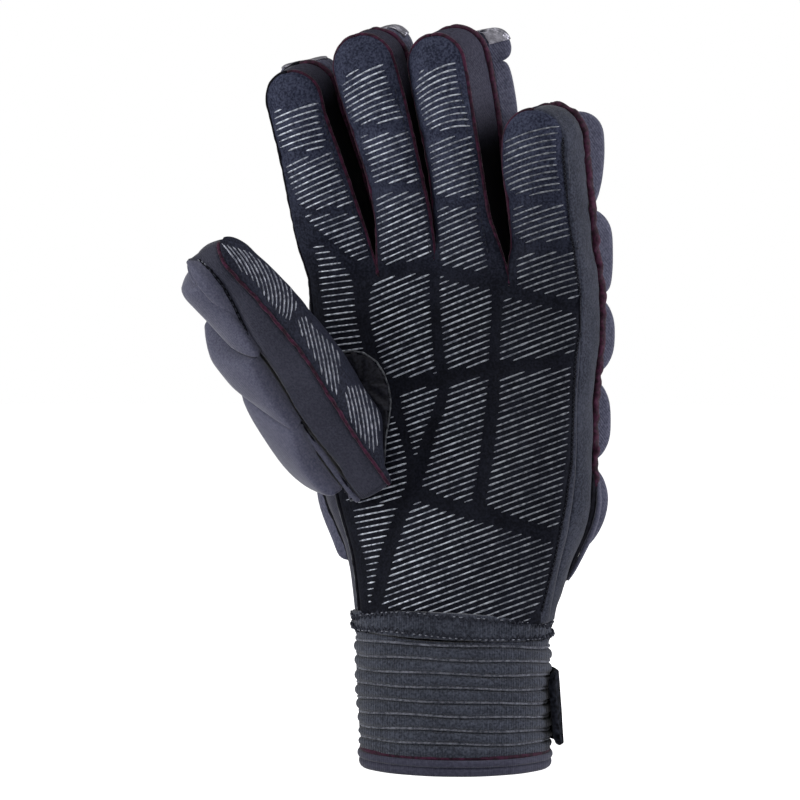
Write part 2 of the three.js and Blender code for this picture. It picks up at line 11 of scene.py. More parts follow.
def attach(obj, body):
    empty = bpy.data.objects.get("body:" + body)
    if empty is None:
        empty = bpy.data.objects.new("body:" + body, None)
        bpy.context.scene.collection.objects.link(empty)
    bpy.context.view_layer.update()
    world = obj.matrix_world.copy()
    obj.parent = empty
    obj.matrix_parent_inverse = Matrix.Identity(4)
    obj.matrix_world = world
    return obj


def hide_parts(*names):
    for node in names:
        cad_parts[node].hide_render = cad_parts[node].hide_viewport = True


# A field hockey glove for the left hand, palm towards -Y, thumb towards -X, fingers up. Shapes are worked
# out in millimetres, as in the CAD source, and become metres when a mesh is made.
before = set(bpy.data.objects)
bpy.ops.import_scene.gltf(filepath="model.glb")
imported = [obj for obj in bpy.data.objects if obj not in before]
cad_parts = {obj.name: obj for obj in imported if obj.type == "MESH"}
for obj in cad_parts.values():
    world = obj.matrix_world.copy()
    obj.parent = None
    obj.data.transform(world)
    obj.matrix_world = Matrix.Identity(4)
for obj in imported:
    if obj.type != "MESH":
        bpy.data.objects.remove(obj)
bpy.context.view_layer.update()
random.seed(11)
MM = 0.001

# The glove's sizes, as in the source of the solids
LEATHER = 1.6
NEOPRENE = 2.0
GAP = 0.3
FRONT_INSET = 1.8
BACK_INSET = 2.6
HAND_PAD = 8
PAD_OVERHANG = 3.6
CUFF_TOP = 51.6
SEAM_BAND = 6.2
HEM_HEIGHT = 5.4
PIPING = 0.9
RIBS = 8
RIB_DEPTH = 1.1
KNIT = 2.2
CUFF_HALF_WIDTH = 31.4
CUFF_HALF_DEPTH = 23.4
CUFF_FLARE = 2.6
CUFF_SLANT = 0.05
STRAP = {"bottom": 9, "top": 33.5, "thickness": 2.2, "from": -20, "to": 158, "stand_off": 2.0}
HAND_COLUMNS = ["front_left", "front_right", "back_left", "back_right", "wall", "front_bulge", "back_bulge"]
HAND_ROWS = [
    [-32.0, 31.6, -33.2, 32.8, 15.0, 15.6, 15.6],
    [-34.2, 34.8, -37.0, 40.0, 15.0, 14.0, 13.6],
    [-39.4, 38.4, -45.4, 46.8, 15.0, 12.6, 11.6],
    [-42.6, 40.2, -47.0, 47.2, 15.0, 11.0, 9.8],
    [-45.4, 40.4, -49.0, 47.4, 15.0, 9.2, 8.0],
    [-47.6, 41.4, -50.0, 49.2, 15.0, 7.2, 6.2],
    [-49.4, 42.0, -49.6, 49.6, 15.0, 5.0, 4.4],
]
COLUMN_SHARE = [0, 0.256, 0.462, 0.735, 1]
CROTCH_HEIGHT = [165.5, 166, 171, 162.5, 160.5]
TURN = 0.25
TURN_START = 0.4
PALM_HOLLOW = 3.4
SIDE_BULGE = 1.6
FINGER_BULGE = 0.7
DIGIT_COLUMNS = ["x", "y", "z", "front_half", "back_half", "back_shift", "wall"]
DIGITS = {
    "index": ([-0.34, -0.94, 0], [
        [-35.2, -1.0, 165.5, 12.2, 12.6, 0.4, 15.0],
        [-40.1, -2.2, 181, 12.0, 12.4, 0.2, 15.4],
        [-43.6, -4.0, 194.5, 11.2, 12.0, 0.2, 15.6],
        [-47.0, -6.4, 207, 10.2, 11.4, 0.2, 15.4],
        [-50.2, -8.8, 218, 9.4, 11.0, 0.2, 15.2],
        [-52.4, -11.0, 227, 9.4, 10.8, 0.2, 15.0],
    ]),
    "middle": ([-0.34, -0.94, 0], [
        [-13.6, -1.4, 168.5, 9.6, 10.0, 0.2, 15.0],
        [-15.2, -2.4, 185, 9.4, 9.8, 0.2, 15.4],
        [-18.4, -4.0, 201, 9.2, 9.8, 0.2, 15.8],
        [-22.4, -6.0, 216, 9.8, 10.4, 0.2, 15.8],
        [-26.2, -8.2, 229, 10.4, 10.8, 0.2, 15.6],
        [-28.6, -9.8, 237.5, 10.4, 10.8, 0.2, 15.4],
    ]),
    "ring": ([-0.42, -0.91, 0], [
        [8.2, -1.2, 166.5, 11.0, 11.6, 0.4, 15.0],
        [5.0, -2.0, 185, 9.8, 10.8, 0.8, 15.6],
        [2.8, -3.2, 202, 9.2, 10.8, 1.2, 16.2],
        [0.2, -4.8, 217, 9.4, 11.2, 1.6, 16.4],
        [-2.2, -6.4, 230, 9.8, 11.4, 1.8, 16.2],
        [-3.6, -7.6, 237.5, 9.8, 11.2, 1.8, 16.0],
    ]),
    "little": ([-0.38, -0.92, 0], [
        [33.4, -0.8, 161.5, 11.8, 12.6, 0.4, 14.4],
        [32.0, -1.6, 176, 11.0, 12.4, 0.8, 14.6],
        [30.4, -3.0, 190, 10.8, 12.4, 1.2, 14.8],
        [29.2, -4.6, 202, 11.4, 12.2, 1.2, 14.8],
        [28.8, -5.8, 210.5, 11.2, 11.8, 1.2, 14.6],
    ]),
    "thumb": ([0.76, -0.42, 0.5], [
        [-28.6, -10.0, 104.2, 11.4, 12.4, 0, 15.0],
        [-37.0, -14.0, 116.4, 11.6, 12.8, 0, 15.6],
        [-44.8, -18.0, 128.6, 11.4, 12.6, 0, 16.0],
        [-52.2, -21.6, 140.2, 10.8, 12.0, 0, 16.0],
        [-60.8, -25.0, 151.0, 10.2, 11.4, 0, 15.6],
        [-68.8, -28.0, 160.6, 9.6, 10.8, 0, 15.0],
        [-75.2, -30.4, 167.4, 9.0, 10.2, 0, 14.4],
    ]),
}
FRONT_CROWN = 4.0
BACK_CROWN = 3.2
TIP_ANGLE = math.radians(80)
ROOT_BLEND = 20
PAD_EDGE = 1.0
PAD_SEAT = 0.6
PAD_WIDTH = 0.97
PAD_SEAM = 0.035
# At its root the thumb's front turns in towards the palm
THUMB_ROOT_REACH = (0.58, 0.36)
THUMB_ROOT_RISE = -0.35
THUMB_ROOT_SIDE = 0.5
THUMB_ROOT_TURN = 11
THUMB_ROLL = (-0.1, 0.14)

# How the photograph lies over the glove: the camera's place, and the pixel that shows x = 0 and z = 0
EYE = np.array([0.0, -900.0, 150.0])
PIXEL = 0.3386
PIXEL_AT_X0 = 455.5
PIXEL_AT_Z0 = 767.0


def unit(v):
    return v / np.maximum(np.linalg.norm(v, axis=-1, keepdims=True), 1e-9)


def lerp(a, b, t):
    return a + (b - a) * t


def smoothstep(value, low, high):
    t = np.clip((value - low) / (high - low), 0, 1)
    return t * t * (3 - 2 * t)


def reader(columns, rows):
    """A smooth curve through a table's rows, read at 0 to 1"""
    table = np.array(rows, float)
    last = len(rows) - 1

    def read(at):
        at = np.asarray(at, float)
        k = np.clip(np.floor(at * last).astype(int), 0, last - 1)
        f = (at * last - k)[..., None]
        a, b, c, d = (table[np.clip(k + i, 0, last)] for i in (-1, 0, 1, 2))
        value = b + 0.5 * f * (c - a + f * (2 * a - 5 * b + 4 * c - d + f * (3 * (b - c) + d - a)))
        return {name: value[..., j] for j, name in enumerate(columns)}

    return read


hand_at = reader(HAND_COLUMNS, HAND_ROWS)
crotch_at = reader(["z"], [[z] for z in CROTCH_HEIGHT])


def hand_point(sign, level, column):
    """A point on the hand's front (sign -1) or back (sign 1)"""
    level, column = np.broadcast_arrays(np.asarray(level, float), np.asarray(column, float))
    row = hand_at(level)
    share = np.interp(column, range(len(COLUMN_SHARE)), COLUMN_SHARE)
    across = 2 * share - 1
    side = "front" if sign < 0 else "back"
    x = lerp(row[side + "_left"], row[side + "_right"], share)
    bulge = row[side + "_bulge"] * np.sqrt(np.maximum(0, 1 - across**2))
    hollow = PALM_HOLLOW * np.sin(np.pi * level) * np.cos(across * np.pi / 2) ** 2
    turn = TURN * x * smoothstep(level, 0, TURN_START)
    y = sign * (row["wall"] / 2 + bulge) + (hollow if sign < 0 else 0) - turn
    z = lerp(CUFF_TOP - CUFF_SLANT * x, crotch_at(column / (len(COLUMN_SHARE) - 1))["z"], level)
    return np.stack([x, y, z], -1)


class Digit:
    """Frames along a digit and points on its two faces. along is 0 to 1 over the stations, up to 2 round
    the tip and down to -1 round a closed root; across is -1 to 1."""

    def __init__(self, name):
        self.name = name
        facing, rows = DIGITS[name]
        self.facing = np.array(facing)
        self.at = reader(DIGIT_COLUMNS, rows)
        self.column = list(DIGITS).index(name)
        self.is_finger = name != "thumb"

    def centre(self, station):
        row = self.at(station)
        y = row["y"] - TURN * row["x"] if self.is_finger else row["y"]
        return np.stack([row["x"], y, row["z"]], -1)

    def frame(self, station):
        step = 0.01
        station = np.asarray(station, float)
        ahead, behind = np.minimum(1, station + step), np.maximum(0, station - step)
        tangent = unit(self.centre(ahead) - self.centre(behind))
        front = unit(self.facing - tangent * (tangent @ self.facing)[..., None])
        return tangent, front, np.cross(tangent, front)

    def face(self, sign, along, across):
        along, across = np.broadcast_arrays(np.asarray(along, float), np.asarray(across, float))
        station = np.clip(along, 0, 1)
        centre = self.centre(station)
        tangent, front, side = self.frame(station)
        row = self.at(station)
        turn = np.where(along > 1, along - 1, np.minimum(0, along)) * TIP_ANGLE
        half = row["front_half"] if sign < 0 else row["back_half"]
        shift = 0 if sign < 0 else row["back_shift"]
        crown = (FRONT_CROWN if sign < 0 else BACK_CROWN) * (1 - across**2) * np.cos(turn) ** 1.2
        reach = half * np.sin(turn)
        rise = row["wall"] / 2 + crown
        if not self.is_finger:
            reach = np.where(along < 0, reach * lerp(*THUMB_ROOT_REACH, (across + 1) / 2), reach)
            rolled = 1 - smoothstep(along, *THUMB_ROLL)
            if sign < 0:
                rise = rise * lerp(1, THUMB_ROOT_RISE, rolled * smoothstep(across, -1.0, 0.3))
            half = np.where(across > 0, half * lerp(1, THUMB_ROOT_SIDE, rolled), half)
            shift = shift - THUMB_ROOT_TURN * np.where(along < 0, 1 - np.cos(turn), 0)
        point = (
            centre
            + side * (shift + half * np.cos(turn) * across)[..., None]
            + tangent * reach[..., None]
            - front * (sign * rise)[..., None]
        )
        if not self.is_finger:
            return point
        distance = np.linalg.norm(centre - self.centre(0), axis=-1)
        root = hand_point(sign, np.ones_like(across), self.column + (across + 1) / 2)
        root = root + tangent * distance[..., None]
        return lerp(root, point, smoothstep(distance, 0, ROOT_BLEND)[..., None])


digits = {name: Digit(name) for name in DIGITS}
fingers = [d for d in digits.values() if d.is_finger]
thumb = digits["thumb"]


# Meshes
def grid_faces(rows, columns, start=0):
    k = np.arange(rows * columns).reshape(rows, columns) + start
    return np.stack([k[:-1, :-1], k[:-1, 1:], k[1:, 1:], k[1:, :-1]], -1).reshape(-1, 4)


def weld(points, quads):
    """Joins points that lie on each other, and drops quads that have no width"""
    _, first, ids = np.unique(np.round(points, 3), axis=0, return_index=True, return_inverse=True)
    return points[first], ids.reshape(-1)[quads]


def vertex_normals(points, quads):
    normals = np.zeros_like(points)
    a, b, c, d = (points[quads[:, i]] for i in range(4))
    face = np.cross(c - a, d - b)
    for i in range(4):
        np.add.at(normals, quads[:, i], face)
    return unit(normals)


def border_edges(count, quads):
    start = quads.reshape(-1)
    end = np.roll(quads, -1, axis=1).reshape(-1)
    keys = start.astype(np.int64) * count + end
    open_edge = ~np.isin(keys, end.astype(np.int64) * count + start)
    return start[open_edge], end[open_edge]


RIM_STEPS = 4
RIM_ROUND = 0.28  # how far a sheet's rim bulges, as a share of its thickness


def thick_sheet(points, quads, thickness, lift=None):
    """The sheet of cloth whose outside is this skin, with a rounded rim"""
    points, quads = weld(points, quads)
    normals = vertex_normals(points, quads)
    if lift is not None:
        points = points + normals * lift(points)[:, None]
        normals = vertex_normals(points, quads)
    inner = points - normals * thickness
    count = len(points)
    start, end = border_edges(count, quads)
    outward = np.zeros_like(points)
    across = np.cross(points[end] - points[start], normals[start])
    np.add.at(outward, start, across)
    np.add.at(outward, end, across)
    outward = unit(outward)
    rim = np.unique(start)
    place = np.zeros(count, int)
    place[rim] = np.arange(len(rim))
    layers, rings = [points, inner], [np.arange(count)[rim]]
    for k in range(1, RIM_STEPS):
        share = k / RIM_STEPS
        push = RIM_ROUND * thickness * math.sin(math.pi * share)
        rings.append(2 * count + (k - 1) * len(rim) + np.arange(len(rim)))
        layers.append(lerp(points[rim], inner[rim], share) + outward[rim] * push)
    rings.append(count + rim)
    faces = [quads, quads[:, ::-1] + count]
    for upper, lower in zip(rings, rings[1:]):
        s, e = place[start], place[end]
        faces.append(np.stack([upper[e], upper[s], lower[s], lower[e]], -1))
    return np.concatenate(layers), np.concatenate(faces)


class Bundle:
    """Many small closed shapes in one mesh"""

    def __init__(self):
        self.points = []
        self.faces = []
        self.count = 0

    def add(self, points, faces):
        self.points.append(np.asarray(points, float).reshape(-1, 3))
        self.faces.extend([[i + self.count for i in f] for f in faces])
        self.count += len(self.points[-1])

    def tube(self, path, ups, width, height, profile, closed=False):
        """A rod along a path. width and height are half sizes, and may differ from point to point."""
        path, ups = np.asarray(path, float), unit(np.asarray(ups, float))
        if closed:
            tangents = unit(np.roll(path, -1, axis=0) - np.roll(path, 1, axis=0))
        else:
            tangents = unit(np.gradient(path, axis=0))
        sides = unit(np.cross(tangents, ups))
        ups = np.cross(sides, tangents)
        width = np.broadcast_to(width, len(path))[:, None, None]
        height = np.broadcast_to(height, len(path))[:, None, None]
        shape = np.array(profile)
        points = (
            path[:, None]
            + sides[:, None] * width * shape[None, :, :1]
            + ups[:, None] * height * shape[None, :, 1:]
        )
        rows, n = len(path), len(profile)
        faces = []
        for r in range(rows if closed else rows - 1):
            for i in range(n):
                j, s = (i + 1) % n, (r + 1) % rows
                faces.append([r * n + i, r * n + j, s * n + j, s * n + i])
        if not closed:
            faces += [list(range(n))[::-1], list(range((rows - 1) * n, rows * n))]
        self.add(points, faces)


def circle(sides):
    return [(math.cos(2 * math.pi * i / sides), math.sin(2 * math.pi * i / sides)) for i in range(sides)]


RIDGE = [(-1, -0.5), (-0.85, 0.35), (-0.4, 0.95), (0.4, 0.95), (0.85, 0.35), (1, -0.5)]


def new_object(name, points, faces):
    mesh = bpy.data.meshes.new(name)
    faces = faces.tolist() if isinstance(faces, np.ndarray) else faces
    mesh.from_pydata((np.asarray(points) * MM).tolist(), [], faces)
    mesh.polygons.foreach_set("use_smooth", [True] * len(mesh.polygons))
    mesh.update()
    obj = bpy.data.objects.new(name, mesh)
    bpy.context.scene.collection.objects.link(obj)
    return obj


def finish_piece(obj, look, stands_for=()):
    obj.data.materials.clear()
    obj.data.materials.append(look)
    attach(obj, "root")
    if stands_for:
        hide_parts(*stands_for)
    return obj


def cut_away(obj, points, faces):
    """Takes a closed body away from an object"""
    cutter = new_object("cutter", points, faces)
    modifier = obj.modifiers.new("cut", "BOOLEAN")
    modifier.operation = "DIFFERENCE"
    modifier.solver = "MANIFOLD"
    modifier.object = cutter
    bpy.context.view_layer.update()
    evaluated = obj.evaluated_get(bpy.context.evaluated_depsgraph_get())
    result = bpy.data.meshes.new_from_object(evaluated)
    obj.modifiers.clear()
    if len(result.polygons):
        obj.data = result
        result.polygons.foreach_set("use_smooth", [True] * len(result.polygons))
    else:
        print("cut_away left nothing of", obj.name)
    bpy.data.objects.remove(cutter)


def bumpy(points, size, depth, seed=0.0):
    """Soft unevenness of cloth: noise of that size and depth, in millimetres"""
    return np.array([depth * noise.noise(Vector(p) / size + Vector((seed, 0, 0))) for p in points])


# Materials
GRAIN = 1.8  # specks are this much larger than a look's own size for them
GRAIN_SHARE = 0.75  # how much of the mixture comes from the specks, and not from the patches
DARK_UP_TO = 0.40
LIGHT_FROM = 0.62
ROUGH_SPREAD = 0.08
ROUGH_PATCH = 0.3  # the patches of roughness, as a share of the size of the patches of colour
SHEEN_ROUGHNESS = 0.45
WAVE_PERIOD = 2 * math.pi / 20  # from one band to the next in Blender's wave texture at a scale of 1
WAVE_DISTORTION = 0.6


def look(name, dark, light, roughness, speck=0.5, patch=18, bumps=(), sheen=0.0, metallic=0.0, gloss=0.12,
         painted_shade=None):
    """A cloth or print: two colours mixed by fine specks and larger patches, and layers of bump. Each bump is
    (kind, size in mm, height in mm, turn in degrees), a wave or a noise. The last argument paints light and
    shade
    along an axis, as (axis, from, to, share, share): the colour is multiplied by the first share up to the
    first place, and by the second past the second place."""
    material = bpy.data.materials.new(name)
    material.use_nodes = True
    nodes, links = material.node_tree.nodes, material.node_tree.links
    shader = nodes["Principled BSDF"]
    coords = nodes.new("ShaderNodeTexCoord").outputs["Object"]

    def noise_node(size, detail=3.0):
        node = nodes.new("ShaderNodeTexNoise")
        node.inputs["Scale"].default_value = 1000 / size
        node.inputs["Detail"].default_value = detail
        links.new(coords, node.inputs["Vector"])
        return node.outputs["Fac"]

    def math_node(operation, a, b):
        node = nodes.new("ShaderNodeMath")
        node.operation = operation
        for socket, value in zip(node.inputs, (a, b)):
            if isinstance(value, (int, float)):
                socket.default_value = value
            else:
                links.new(value, socket)
        return node.outputs[0]

    grain = math_node("MULTIPLY", noise_node(speck * GRAIN), GRAIN_SHARE)
    mixed = math_node("ADD", grain, math_node("MULTIPLY", noise_node(patch), 1 - GRAIN_SHARE))
    ramp = nodes.new("ShaderNodeValToRGB")
    for stop, place, shade in zip(ramp.color_ramp.elements, (DARK_UP_TO, LIGHT_FROM), (dark, light)):
        stop.position = place
        stop.color = (*shade, 1)
    links.new(mixed, ramp.inputs["Fac"])
    colour = ramp.outputs["Color"]
    # painted light and shade: the colour is scaled by place along one axis
    if painted_shade:
        axis, low, high, low_share, high_share = painted_shade
        split = nodes.new("ShaderNodeSeparateXYZ")
        links.new(coords, split.inputs[0])
        by_place = nodes.new("ShaderNodeMapRange")
        by_place.interpolation_type = "SMOOTHSTEP"
        by_place.inputs["From Min"].default_value = low * MM
        by_place.inputs["From Max"].default_value = high * MM
        by_place.inputs["To Min"].default_value = low_share
        by_place.inputs["To Max"].default_value = high_share
        links.new(split.outputs[axis], by_place.inputs["Value"])
        scaled = nodes.new("ShaderNodeVectorMath")
        scaled.operation = "SCALE"
        links.new(colour, scaled.inputs[0])
        links.new(by_place.outputs["Result"], scaled.inputs["Scale"])
        colour = scaled.outputs["Vector"]
    links.new(colour, shader.inputs["Base Color"])
    uneven = math_node("MULTIPLY", noise_node(patch * ROUGH_PATCH), ROUGH_SPREAD)
    links.new(math_node("ADD", uneven, roughness - ROUGH_SPREAD / 2), shader.inputs["Roughness"])
    shader.inputs["Metallic"].default_value = metallic
    shader.inputs["Specular IOR Level"].default_value = gloss
    if sheen:
        shader.inputs["Sheen Weight"].default_value = sheen
        shader.inputs["Sheen Roughness"].default_value = SHEEN_ROUGHNESS
    normal = None
    for kind, size, height, turn in bumps:
        if kind == "noise":
            value = noise_node(size, 2.0)
        else:
            mapping = nodes.new("ShaderNodeMapping")
            mapping.inputs["Rotation"].default_value = (0, math.radians(turn), 0)
            links.new(coords, mapping.inputs["Vector"])
            node = nodes.new("ShaderNodeTexWave")
            node.bands_direction = "X"
            node.inputs["Scale"].default_value = WAVE_PERIOD / (size * MM)
            node.inputs["Distortion"].default_value = WAVE_DISTORTION
            links.new(mapping.outputs["Vector"], node.inputs["Vector"])
            value = node.outputs["Fac"]
        bump = nodes.new("ShaderNodeBump")
        bump.inputs["Distance"].default_value = height * MM
        links.new(value, bump.inputs["Height"])
        if normal is not None:
            links.new(normal, bump.inputs["Normal"])
        normal = bump.outputs["Normal"]
    if normal is not None:
        links.new(normal, shader.inputs["Normal"])
    return material


# Bumps that several looks share
NAP = [("noise", 0.42, 0.12, 0), ("noise", 5, 0.25, 0)]
TWILL = [("wave", 0.62, 0.04, 40), ("noise", 9, 0.35, 0)]
FRAYED = [("noise", 0.7, 0.16, 0)]
FILM = [("noise", 0.5, 0.03, 0)]
TWIST = [("noise", 0.3, 0.05, 0)]
# The palm's colour is multiplied by 0.4 low on the palm and by 2.1 up the fingers: painted shade in the
# palm's hollow and painted light on the fingertips
PALM = look(
    "palm_leather", (0.0070, 0.0082, 0.0160), (0.0270, 0.0305, 0.0500), 0.66, speck=0.42, patch=9,
    bumps=NAP, gloss=0.07, painted_shade=("Z", 150, 222, 0.40, 2.1),
)
THUMB_FRONT = look(
    "thumb_front_leather", (0.011, 0.012, 0.020), (0.030, 0.033, 0.052), 0.66,
    speck=0.42, bumps=NAP, gloss=0.08,
)
GUSSET = look(
    "gusset_cloth", (0.015, 0.0175, 0.028), (0.050, 0.055, 0.080), 0.74, speck=0.42,
    bumps=[("noise", 0.42, 0.12, 0), ("noise", 7, 0.3, 0)], sheen=0.15,
)
WALL = look(
    "side_cloth", (0.026, 0.027, 0.043), (0.046, 0.047, 0.070), 0.62, speck=0.35, bumps=TWILL, sheen=0.2,
)
# The cloth between the fingers goes nearly black low down: painted shadow deep in the gaps between the
# fingers
GAP_WALL = look(
    "finger_side_cloth", (0.030, 0.029, 0.043), (0.056, 0.055, 0.078), 0.62, speck=0.35,
    bumps=TWILL, gloss=0.06, painted_shade=("Z", 222, 238, 0.05, 1.0),
)
# Between the ring and little fingers: the same painted shadow low down, and painted light near the tips
LITTLE_GAP_WALL = look(
    "little_side_cloth", (0.030, 0.029, 0.043), (0.056, 0.055, 0.078), 0.62, speck=0.35,
    bumps=TWILL, gloss=0.06, painted_shade=("Z", 206, 226, 0.05, 1.25),
)
FOAM = look(
    "foam_cloth", (0.055, 0.057, 0.093), (0.113, 0.115, 0.170), 0.66, speck=0.5,
    bumps=[("wave", 0.75, 0.09, 35), ("noise", 0.5, 0.05, 0)], sheen=0.3,
)
THUMB_FOAM = look(
    "thumb_foam_cloth", (0.066, 0.068, 0.108), (0.118, 0.120, 0.172), 0.62,
    speck=0.35, bumps=TWILL, sheen=0.3,
)
KNITTED = look(
    "cuff_knit", (0.022, 0.025, 0.036), (0.067, 0.075, 0.101), 0.85, speck=0.45,
    bumps=[("wave", 0.8, 0.10, 0), ("noise", 0.45, 0.18, 0)], sheen=0.25,
)
# Thin welts along the ribs: the welts are real, and their light colour is a painted highlight along each rib
WELT_PAINTED_HIGHLIGHT = look(
    "cuff_welt", (0.040, 0.044, 0.060), (0.19, 0.20, 0.24), 0.7, speck=0.5, patch=11,
    bumps=[("noise", 0.45, 0.12, 0)], sheen=0.3,
)
HEM = look(
    "hem_band", (0.036, 0.036, 0.060), (0.060, 0.060, 0.092), 0.6, speck=0.5,
    bumps=[("wave", 0.7, 0.05, 0), ("noise", 0.5, 0.04, 0)], sheen=0.25,
)
BINDING = look(
    "binding", (0.014, 0.003, 0.009), (0.060, 0.012, 0.036), 0.6,
    speck=0.8, patch=5, bumps=FRAYED, sheen=0.15,
)
DARK_TAPE = look(
    "dark_tape", (0.0025, 0.0025, 0.0045), (0.009, 0.009, 0.014), 0.6,
    speck=0.8, patch=6, bumps=FRAYED, gloss=0.05,
)
THREAD = look("stitching", (0.16, 0.17, 0.20), (0.30, 0.31, 0.36), 0.55, speck=0.4, bumps=TWIST)
DARK_THREAD = look(
    "dark_stitching", (0.012, 0.0135, 0.021), (0.040, 0.043, 0.058), 0.6, speck=0.4, bumps=TWIST)
WEB = look(
    "thumb_web", (0.005, 0.0052, 0.009), (0.020, 0.021, 0.031), 0.55, speck=0.5, patch=4,
    bumps=[("noise", 0.5, 0.12, 0), ("noise", 3, 0.5, 0)], gloss=0.2,
)
PIPING_LOOK = look(
    "arch_piping", (0.03, 0.033, 0.042), (0.16, 0.17, 0.19), 0.35, speck=0.6,
    bumps=[("noise", 0.8, 0.1, 0)], gloss=0.4,
)
# The print's colour is lighter on the index side and darker towards the little finger: painted light and
# shade across the palm
PRINT = look(
    "grip_print", (0.13, 0.142, 0.180), (0.70, 0.74, 0.82), 0.36, speck=0.7, patch=7,
    bumps=FILM, metallic=0.25, gloss=0.4, painted_shade=("X", -25, 35, 1.15, 0.45),
)
THUMB_PRINT = look(
    "thumb_grip_print", (0.10, 0.108, 0.140), (0.46, 0.48, 0.55), 0.4, speck=0.7, patch=7,
    bumps=FILM, metallic=0.25, gloss=0.3,
)
SILVER = look(
    "tip_patch", (0.24, 0.235, 0.27), (0.50, 0.49, 0.55), 0.34, speck=1.2, patch=5,
    bumps=[("wave", 1.3, 0.12, 60), ("noise", 3, 0.5, 0)], metallic=0.6, gloss=0.4,
)
FELT = look(
    "strap_felt", (0.0008, 0.0009, 0.0015), (0.021, 0.023, 0.033), 0.95, speck=0.9,
    bumps=[("noise", 0.6, 0.4, 0), ("noise", 1.8, 0.4, 0)], sheen=0.03, gloss=0.03,
)

# Palm and back, each with its four fingers
HAND_STEPS = 84
FINGER_STEPS = 56
TIP_STEPS = 14
STRIP_STEPS = 20


def strip_across(finger):
    """Places across a finger, closer together at the hand's outer sides"""
    t = np.linspace(0, 1, STRIP_STEPS + 1)
    if finger.name == "index":
        return 1 - 2 * np.sin(np.pi / 2 * (1 - t))
    if finger.name == "little":
        return -1 + 2 * np.sin(np.pi / 2 * t)
    return 2 * t - 1


def hand_skin(sign):
    points, quads = [], []
    count = 0

    def add(grid):
        nonlocal count
        rows, columns = grid.shape[:2]
        faces = grid_faces(rows, columns, count)
        quads.append(faces[:, ::-1] if sign > 0 else faces)
        points.append(grid.reshape(-1, 3))
        count += rows * columns

    along = np.concatenate([np.linspace(0, 1, FINGER_STEPS + 1), np.linspace(1, 2, TIP_STEPS + 1)[1:]])
    levels = np.linspace(0, 1, HAND_STEPS + 1)
    for finger in fingers:
        across = strip_across(finger)
        add(hand_point(sign, levels[:, None], (finger.column + (across + 1) / 2)[None, :]))
        add(finger.face(sign, along[:, None], across[None, :]))
    return np.concatenate(points), np.concatenate(quads)


def tree_of(points, quads):
    return BVHTree.FromPolygons([Vector(p) for p in points], quads.tolist())


def lifted_tree(points, quads, lift):
    """What rays meet of a sheet's outside"""
    points, quads = weld(points, quads)
    return tree_of(points + vertex_normals(points, quads) * lift(points)[:, None], quads)


# The plain channels between the printed fields, by pixel of the photograph
CHANNELS = {
    "under_index": [(312, 247), (336, 243), (353, 263), (362, 278), (363, 303), (366, 328), (373, 354),
        (391, 387)],
    "thumb_side": [(391, 387), (408, 429), (416, 467), (412, 486), (402, 506), (391, 540), (384, 572),
        (376, 606)],
    "under_middle": [(435, 263), (434, 293), (436, 324), (439, 358), (444, 387), (437, 415), (427, 442),
        (416, 467)],
    "under_ring": [(498, 288), (497, 309), (495, 335), (495, 366), (492, 408), (489, 440), (484, 467),
        (478, 508)],
    "across_palm": [(395, 385), (446, 377), (494, 368), (542, 364), (572, 358)],
    "finger_roots": [(366, 278), (383, 272), (433, 267), (448, 274), (494, 284), (517, 293), (542, 299),
        (578, 307)],
    "heel": [(416, 487), (443, 502), (480, 513), (514, 526), (551, 536)],
    "index_upper_joint": [(278, 156), (330, 149)],
    "index_lower_joint": [(297, 213), (356, 209)],
    "middle_upper_joint": [(352, 131), (404, 127)],
    "middle_lower_joint": [(370, 190), (424, 187)],
    "ring_upper_joint": [(424, 137), (470, 131)],
    "ring_lower_joint": [(432, 202), (478, 203)],
    "little_upper_joint": [(507, 199), (563, 200)],
    "little_lower_joint": [(512, 247), (573, 246)],
}
# The seam between the printed palm and the plain cloth of the little finger's side
PALM_STITCH_LINE = [
    (559, 119), (563, 126), (564, 134), (562, 146), (563, 163), (565, 181), (569, 216), (571, 234),
    (575, 261), (579, 288), (581, 305), (580, 328), (576, 358), (574, 387), (573, 429), (572, 461),
    (569, 482), (566, 505), (561, 530), (555, 560), (545, 600), (542, 612),
]
CHANNEL_DEPTH = 0.45
CHANNEL_WIDTH = 4.5  # pixels
STITCH_LINE_DEPTH = 1.3  # of the channels' depth
STITCH_LINE_WIDTH = 0.7  # of the channels' width
DEEPEST_CHANNEL = 1.2  # where channels meet


def pixel_of(points):
    """Where the photograph shows points"""
    near = -EYE[1] / (points[:, 1] - EYE[1])
    px = PIXEL_AT_X0 + points[:, 0] * near / PIXEL
    return px, PIXEL_AT_Z0 - (EYE[2] + (points[:, 2] - EYE[2]) * near) / PIXEL


def off_line(px, py, line):
    """Distance of each pixel from a line of pixels"""
    nearest = np.full(len(px), 1e9)
    for (x1, y1), (x2, y2) in zip(line, line[1:]):
        along = ((px - x1) * (x2 - x1) + (py - y1) * (y2 - y1)) / ((x2 - x1) ** 2 + (y2 - y1) ** 2)
        along = np.clip(along, 0, 1)
        nearest = np.minimum(nearest, np.hypot(px - lerp(x1, x2, along), py - lerp(y1, y2, along)))
    return nearest


def palm_lift(points):
    px, py = pixel_of(points)
    channel = sum(np.exp(-((off_line(px, py, line) / CHANNEL_WIDTH) ** 2)) for line in CHANNELS.values())
    seam = off_line(px, py, PALM_STITCH_LINE) / (STITCH_LINE_WIDTH * CHANNEL_WIDTH)
    channel = channel + STITCH_LINE_DEPTH * np.exp(-(seam**2))
    channel = CHANNEL_DEPTH * np.minimum(channel, DEEPEST_CHANNEL)
    return bumpy(points, 15, 0.4) + bumpy(points, 5, 0.12, 3.0) - channel


palm_points, palm_quads = hand_skin(-1)
back_points, back_quads = hand_skin(1)
palm_tree = lifted_tree(palm_points, palm_quads, palm_lift)


